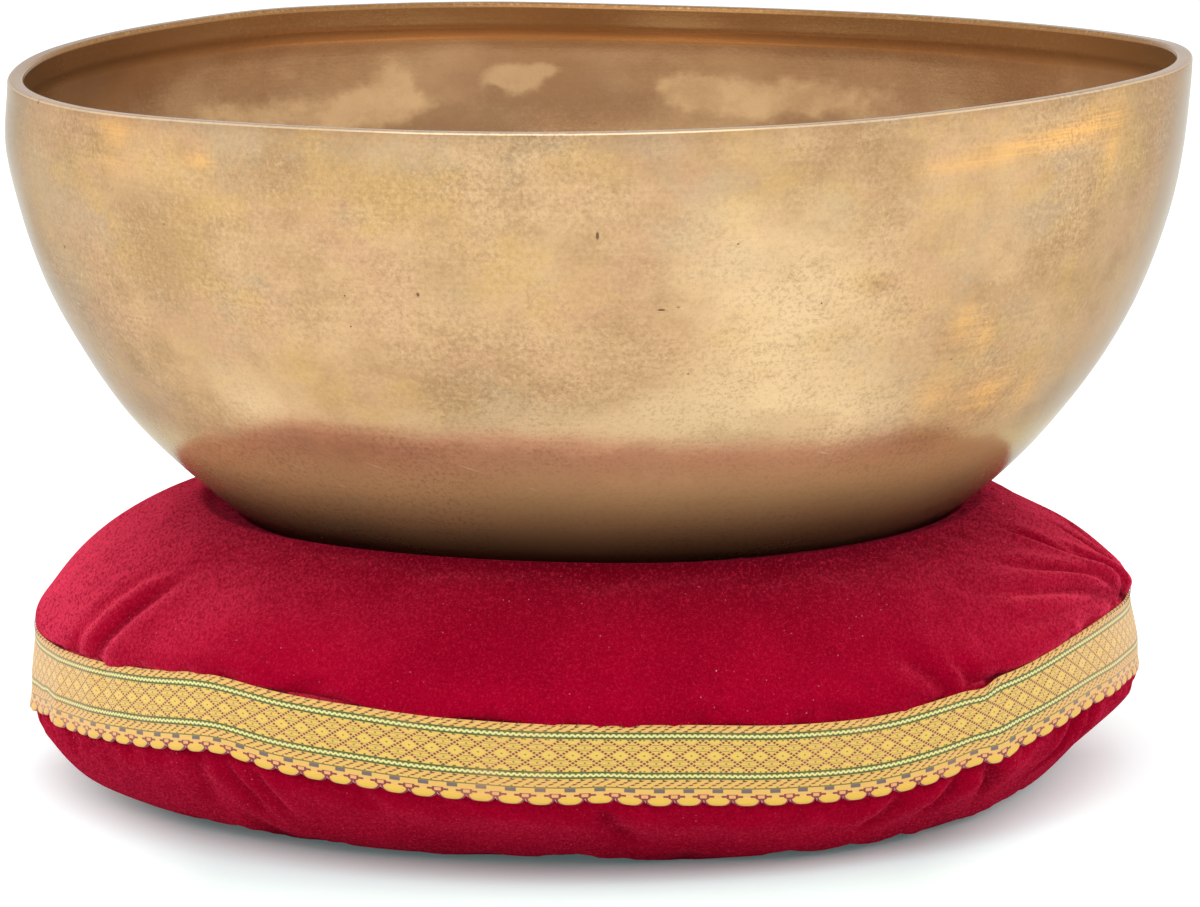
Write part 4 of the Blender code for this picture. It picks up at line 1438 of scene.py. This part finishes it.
class OBJECT_OT_singing_bowl_stitches(bpy.types.Operator):
    """Build the stitches along both edges of the ribbon"""

    bl_idname = "object.singing_bowl_stitches"
    bl_label = "Stitches"

    def execute(self, context):
        settings = context.scene.singing_bowl
        s = settings.ribbon
        crest = cover_section(settings.cushion, settings.bowl, s)[-1]
        share = np.linspace(0, 1, STITCH_STEPS)
        upper = (np.arange(s.upper_stitches)[:, None] + 0.5) * math.tau / s.upper_stitches
        lower = np.arange(1, s.scallops + 1)[:, None] * math.tau / s.scallops
        tip = s.width - s.notch
        # Name, slot, node, tint, angles, heights, and where along it a stitch leaves and meets the cloth
        for name, slot, node, tint, turn, down, leaves, meets in (
            (
                "upper_stitches",
                "maroon_thread",
                "ribbon_upper_thread",
                s.dark_thread,
                upper + 0.006 * (share - 0.5),
                0.0004 - 0.0008 * share,
                0.4,
                1.0,
            ),
            (
                "lower_stitches",
                "pale_thread",
                "ribbon_lower_thread",
                s.pale_thread,
                lower + 0.002 * share,
                tip - 0.0002 + 0.0007 * share,
                0.3,
                0.8,
            ),
        ):
            off = s.thickness * smooth(meets, leaves, share) + s.stitch_radius
            off = off + s.stitch_arch * np.sin(math.pi * share)
            path = ribbon_points(turn, np.broadcast_to(down, turn.shape), off, settings, crest)
            points, faces = stitch_tubes(path, s.stitch_radius)
            piece = add_piece(name, points, faces, thread_finish(slot, tint))
            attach(piece, "cushion")
            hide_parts(node)
        return {"FINISHED"}


def add_light(name, watts, size, place, turn):
    """A soft square light that shines along its own -Z."""
    lamp = bpy.data.lights.new(name, "AREA")
    lamp.energy = watts
    lamp.size = size
    light = bpy.data.objects.new(name, lamp)
    light.matrix_world = Matrix.Translation(place) @ turn
    bpy.context.scene.collection.objects.link(light)
    return light


def set_world(fill):
    """Even light all round that the camera and reflections see as white."""
    world = bpy.data.worlds.new("studio")
    f = Finish(world, "Background")
    f.set(Color=fill + f.seen() * (1 - fill))
    bpy.context.scene.world = world


class OBJECT_OT_singing_bowl_stage(bpy.types.Operator):
    """Set up the white floor, the soft light and the camera"""

    bl_idname = "object.singing_bowl_stage"
    bl_label = "Stage"

    def execute(self, context):
        s = context.scene.singing_bowl.stage
        angle = np.arange(FLOOR_COLUMNS) * math.tau / FLOOR_COLUMNS
        rings = around(angle, s.floor_size * np.linspace(0.1, 1, 10)[:, None], 0.0)
        middle = [*range(FLOOR_COLUMNS)]
        faces = [*grid_faces(len(rings), FLOOR_COLUMNS, False, True).tolist(), middle]
        floor = add_piece("studio_floor", rings, faces, floor_finish(s))
        set_world(s.fill)
        for name, watts, size, place, tilt, spin in (
            ("key", s.key, 1.6, (-0.2, -0.9, 1.5), 32, 0),
            ("left", s.side, 0.9, (-1.3, 0.1, 0.75), 65, -90),
            ("right", s.side * 0.9, 0.9, (1.3, 0.1, 0.75), 65, 90),
        ):
            turn = Matrix.Rotation(math.radians(spin), 4, "Z") @ Matrix.Rotation(math.radians(tilt), 4, "X")
            light = add_light(name, watts, size, place, turn)
            light.visible_glossy = name == "key"
        camera = bpy.data.objects.new("camera", bpy.data.cameras.new("camera"))
        camera.data.lens = s.lens
        camera.data.sensor_width = 36
        camera.matrix_world = (
            Matrix.Translation((0, -s.camera_back, s.camera_height))
            @ Matrix.Rotation(s.camera_tilt, 4, "X")
            @ Matrix.Rotation(s.camera_roll, 4, "Z")
        )
        context.scene.collection.objects.link(camera)
        context.scene.camera = camera
        context.scene.view_settings.view_transform = "Standard"
        return {"FINISHED"}


class VIEW3D_PT_singing_bowl(bpy.types.Panel):
    """Settings and steps of the singing bowl"""

    bl_label = "Singing bowl"
    bl_space_type = "VIEW_3D"
    bl_region_type = "UI"
    bl_category = "Bowl"

    def draw(self, context):
        settings = context.scene.singing_bowl
        for group, operator in (
            (settings.bowl, "object.singing_bowl_bowl"),
            (settings.cushion, "object.singing_bowl_cushion"),
            (settings.ribbon, "object.singing_bowl_ribbon"),
            (settings.stage, "object.singing_bowl_stage"),
        ):
            box = self.layout.box()
            for name in group.__annotations__:
                box.prop(group, name)
            box.operator(operator)
        self.layout.operator("object.singing_bowl_stitches")


CLASSES = (
    BowlSettings,
    CushionSettings,
    RibbonSettings,
    StageSettings,
    SingingBowlSettings,
    OBJECT_OT_singing_bowl_bowl,
    OBJECT_OT_singing_bowl_cushion,
    OBJECT_OT_singing_bowl_ribbon,
    OBJECT_OT_singing_bowl_stitches,
    OBJECT_OT_singing_bowl_stage,
    VIEW3D_PT_singing_bowl,
)


def register():
    for item in CLASSES:
        bpy.utils.register_class(item)
    bpy.types.Scene.singing_bowl = PointerProperty(type=SingingBowlSettings)


def unregister():
    del bpy.types.Scene.singing_bowl
    for item in reversed(CLASSES):
        bpy.utils.unregister_class(item)


def main():
    register()
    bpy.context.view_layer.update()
    bpy.ops.object.singing_bowl_bowl()
    bpy.ops.object.singing_bowl_cushion()
    bpy.ops.object.singing_bowl_ribbon()
    bpy.ops.object.singing_bowl_stitches()
    bpy.ops.object.singing_bowl_stage()
    bpy.context.view_layer.update()


if __name__ == "__main__":
    main()
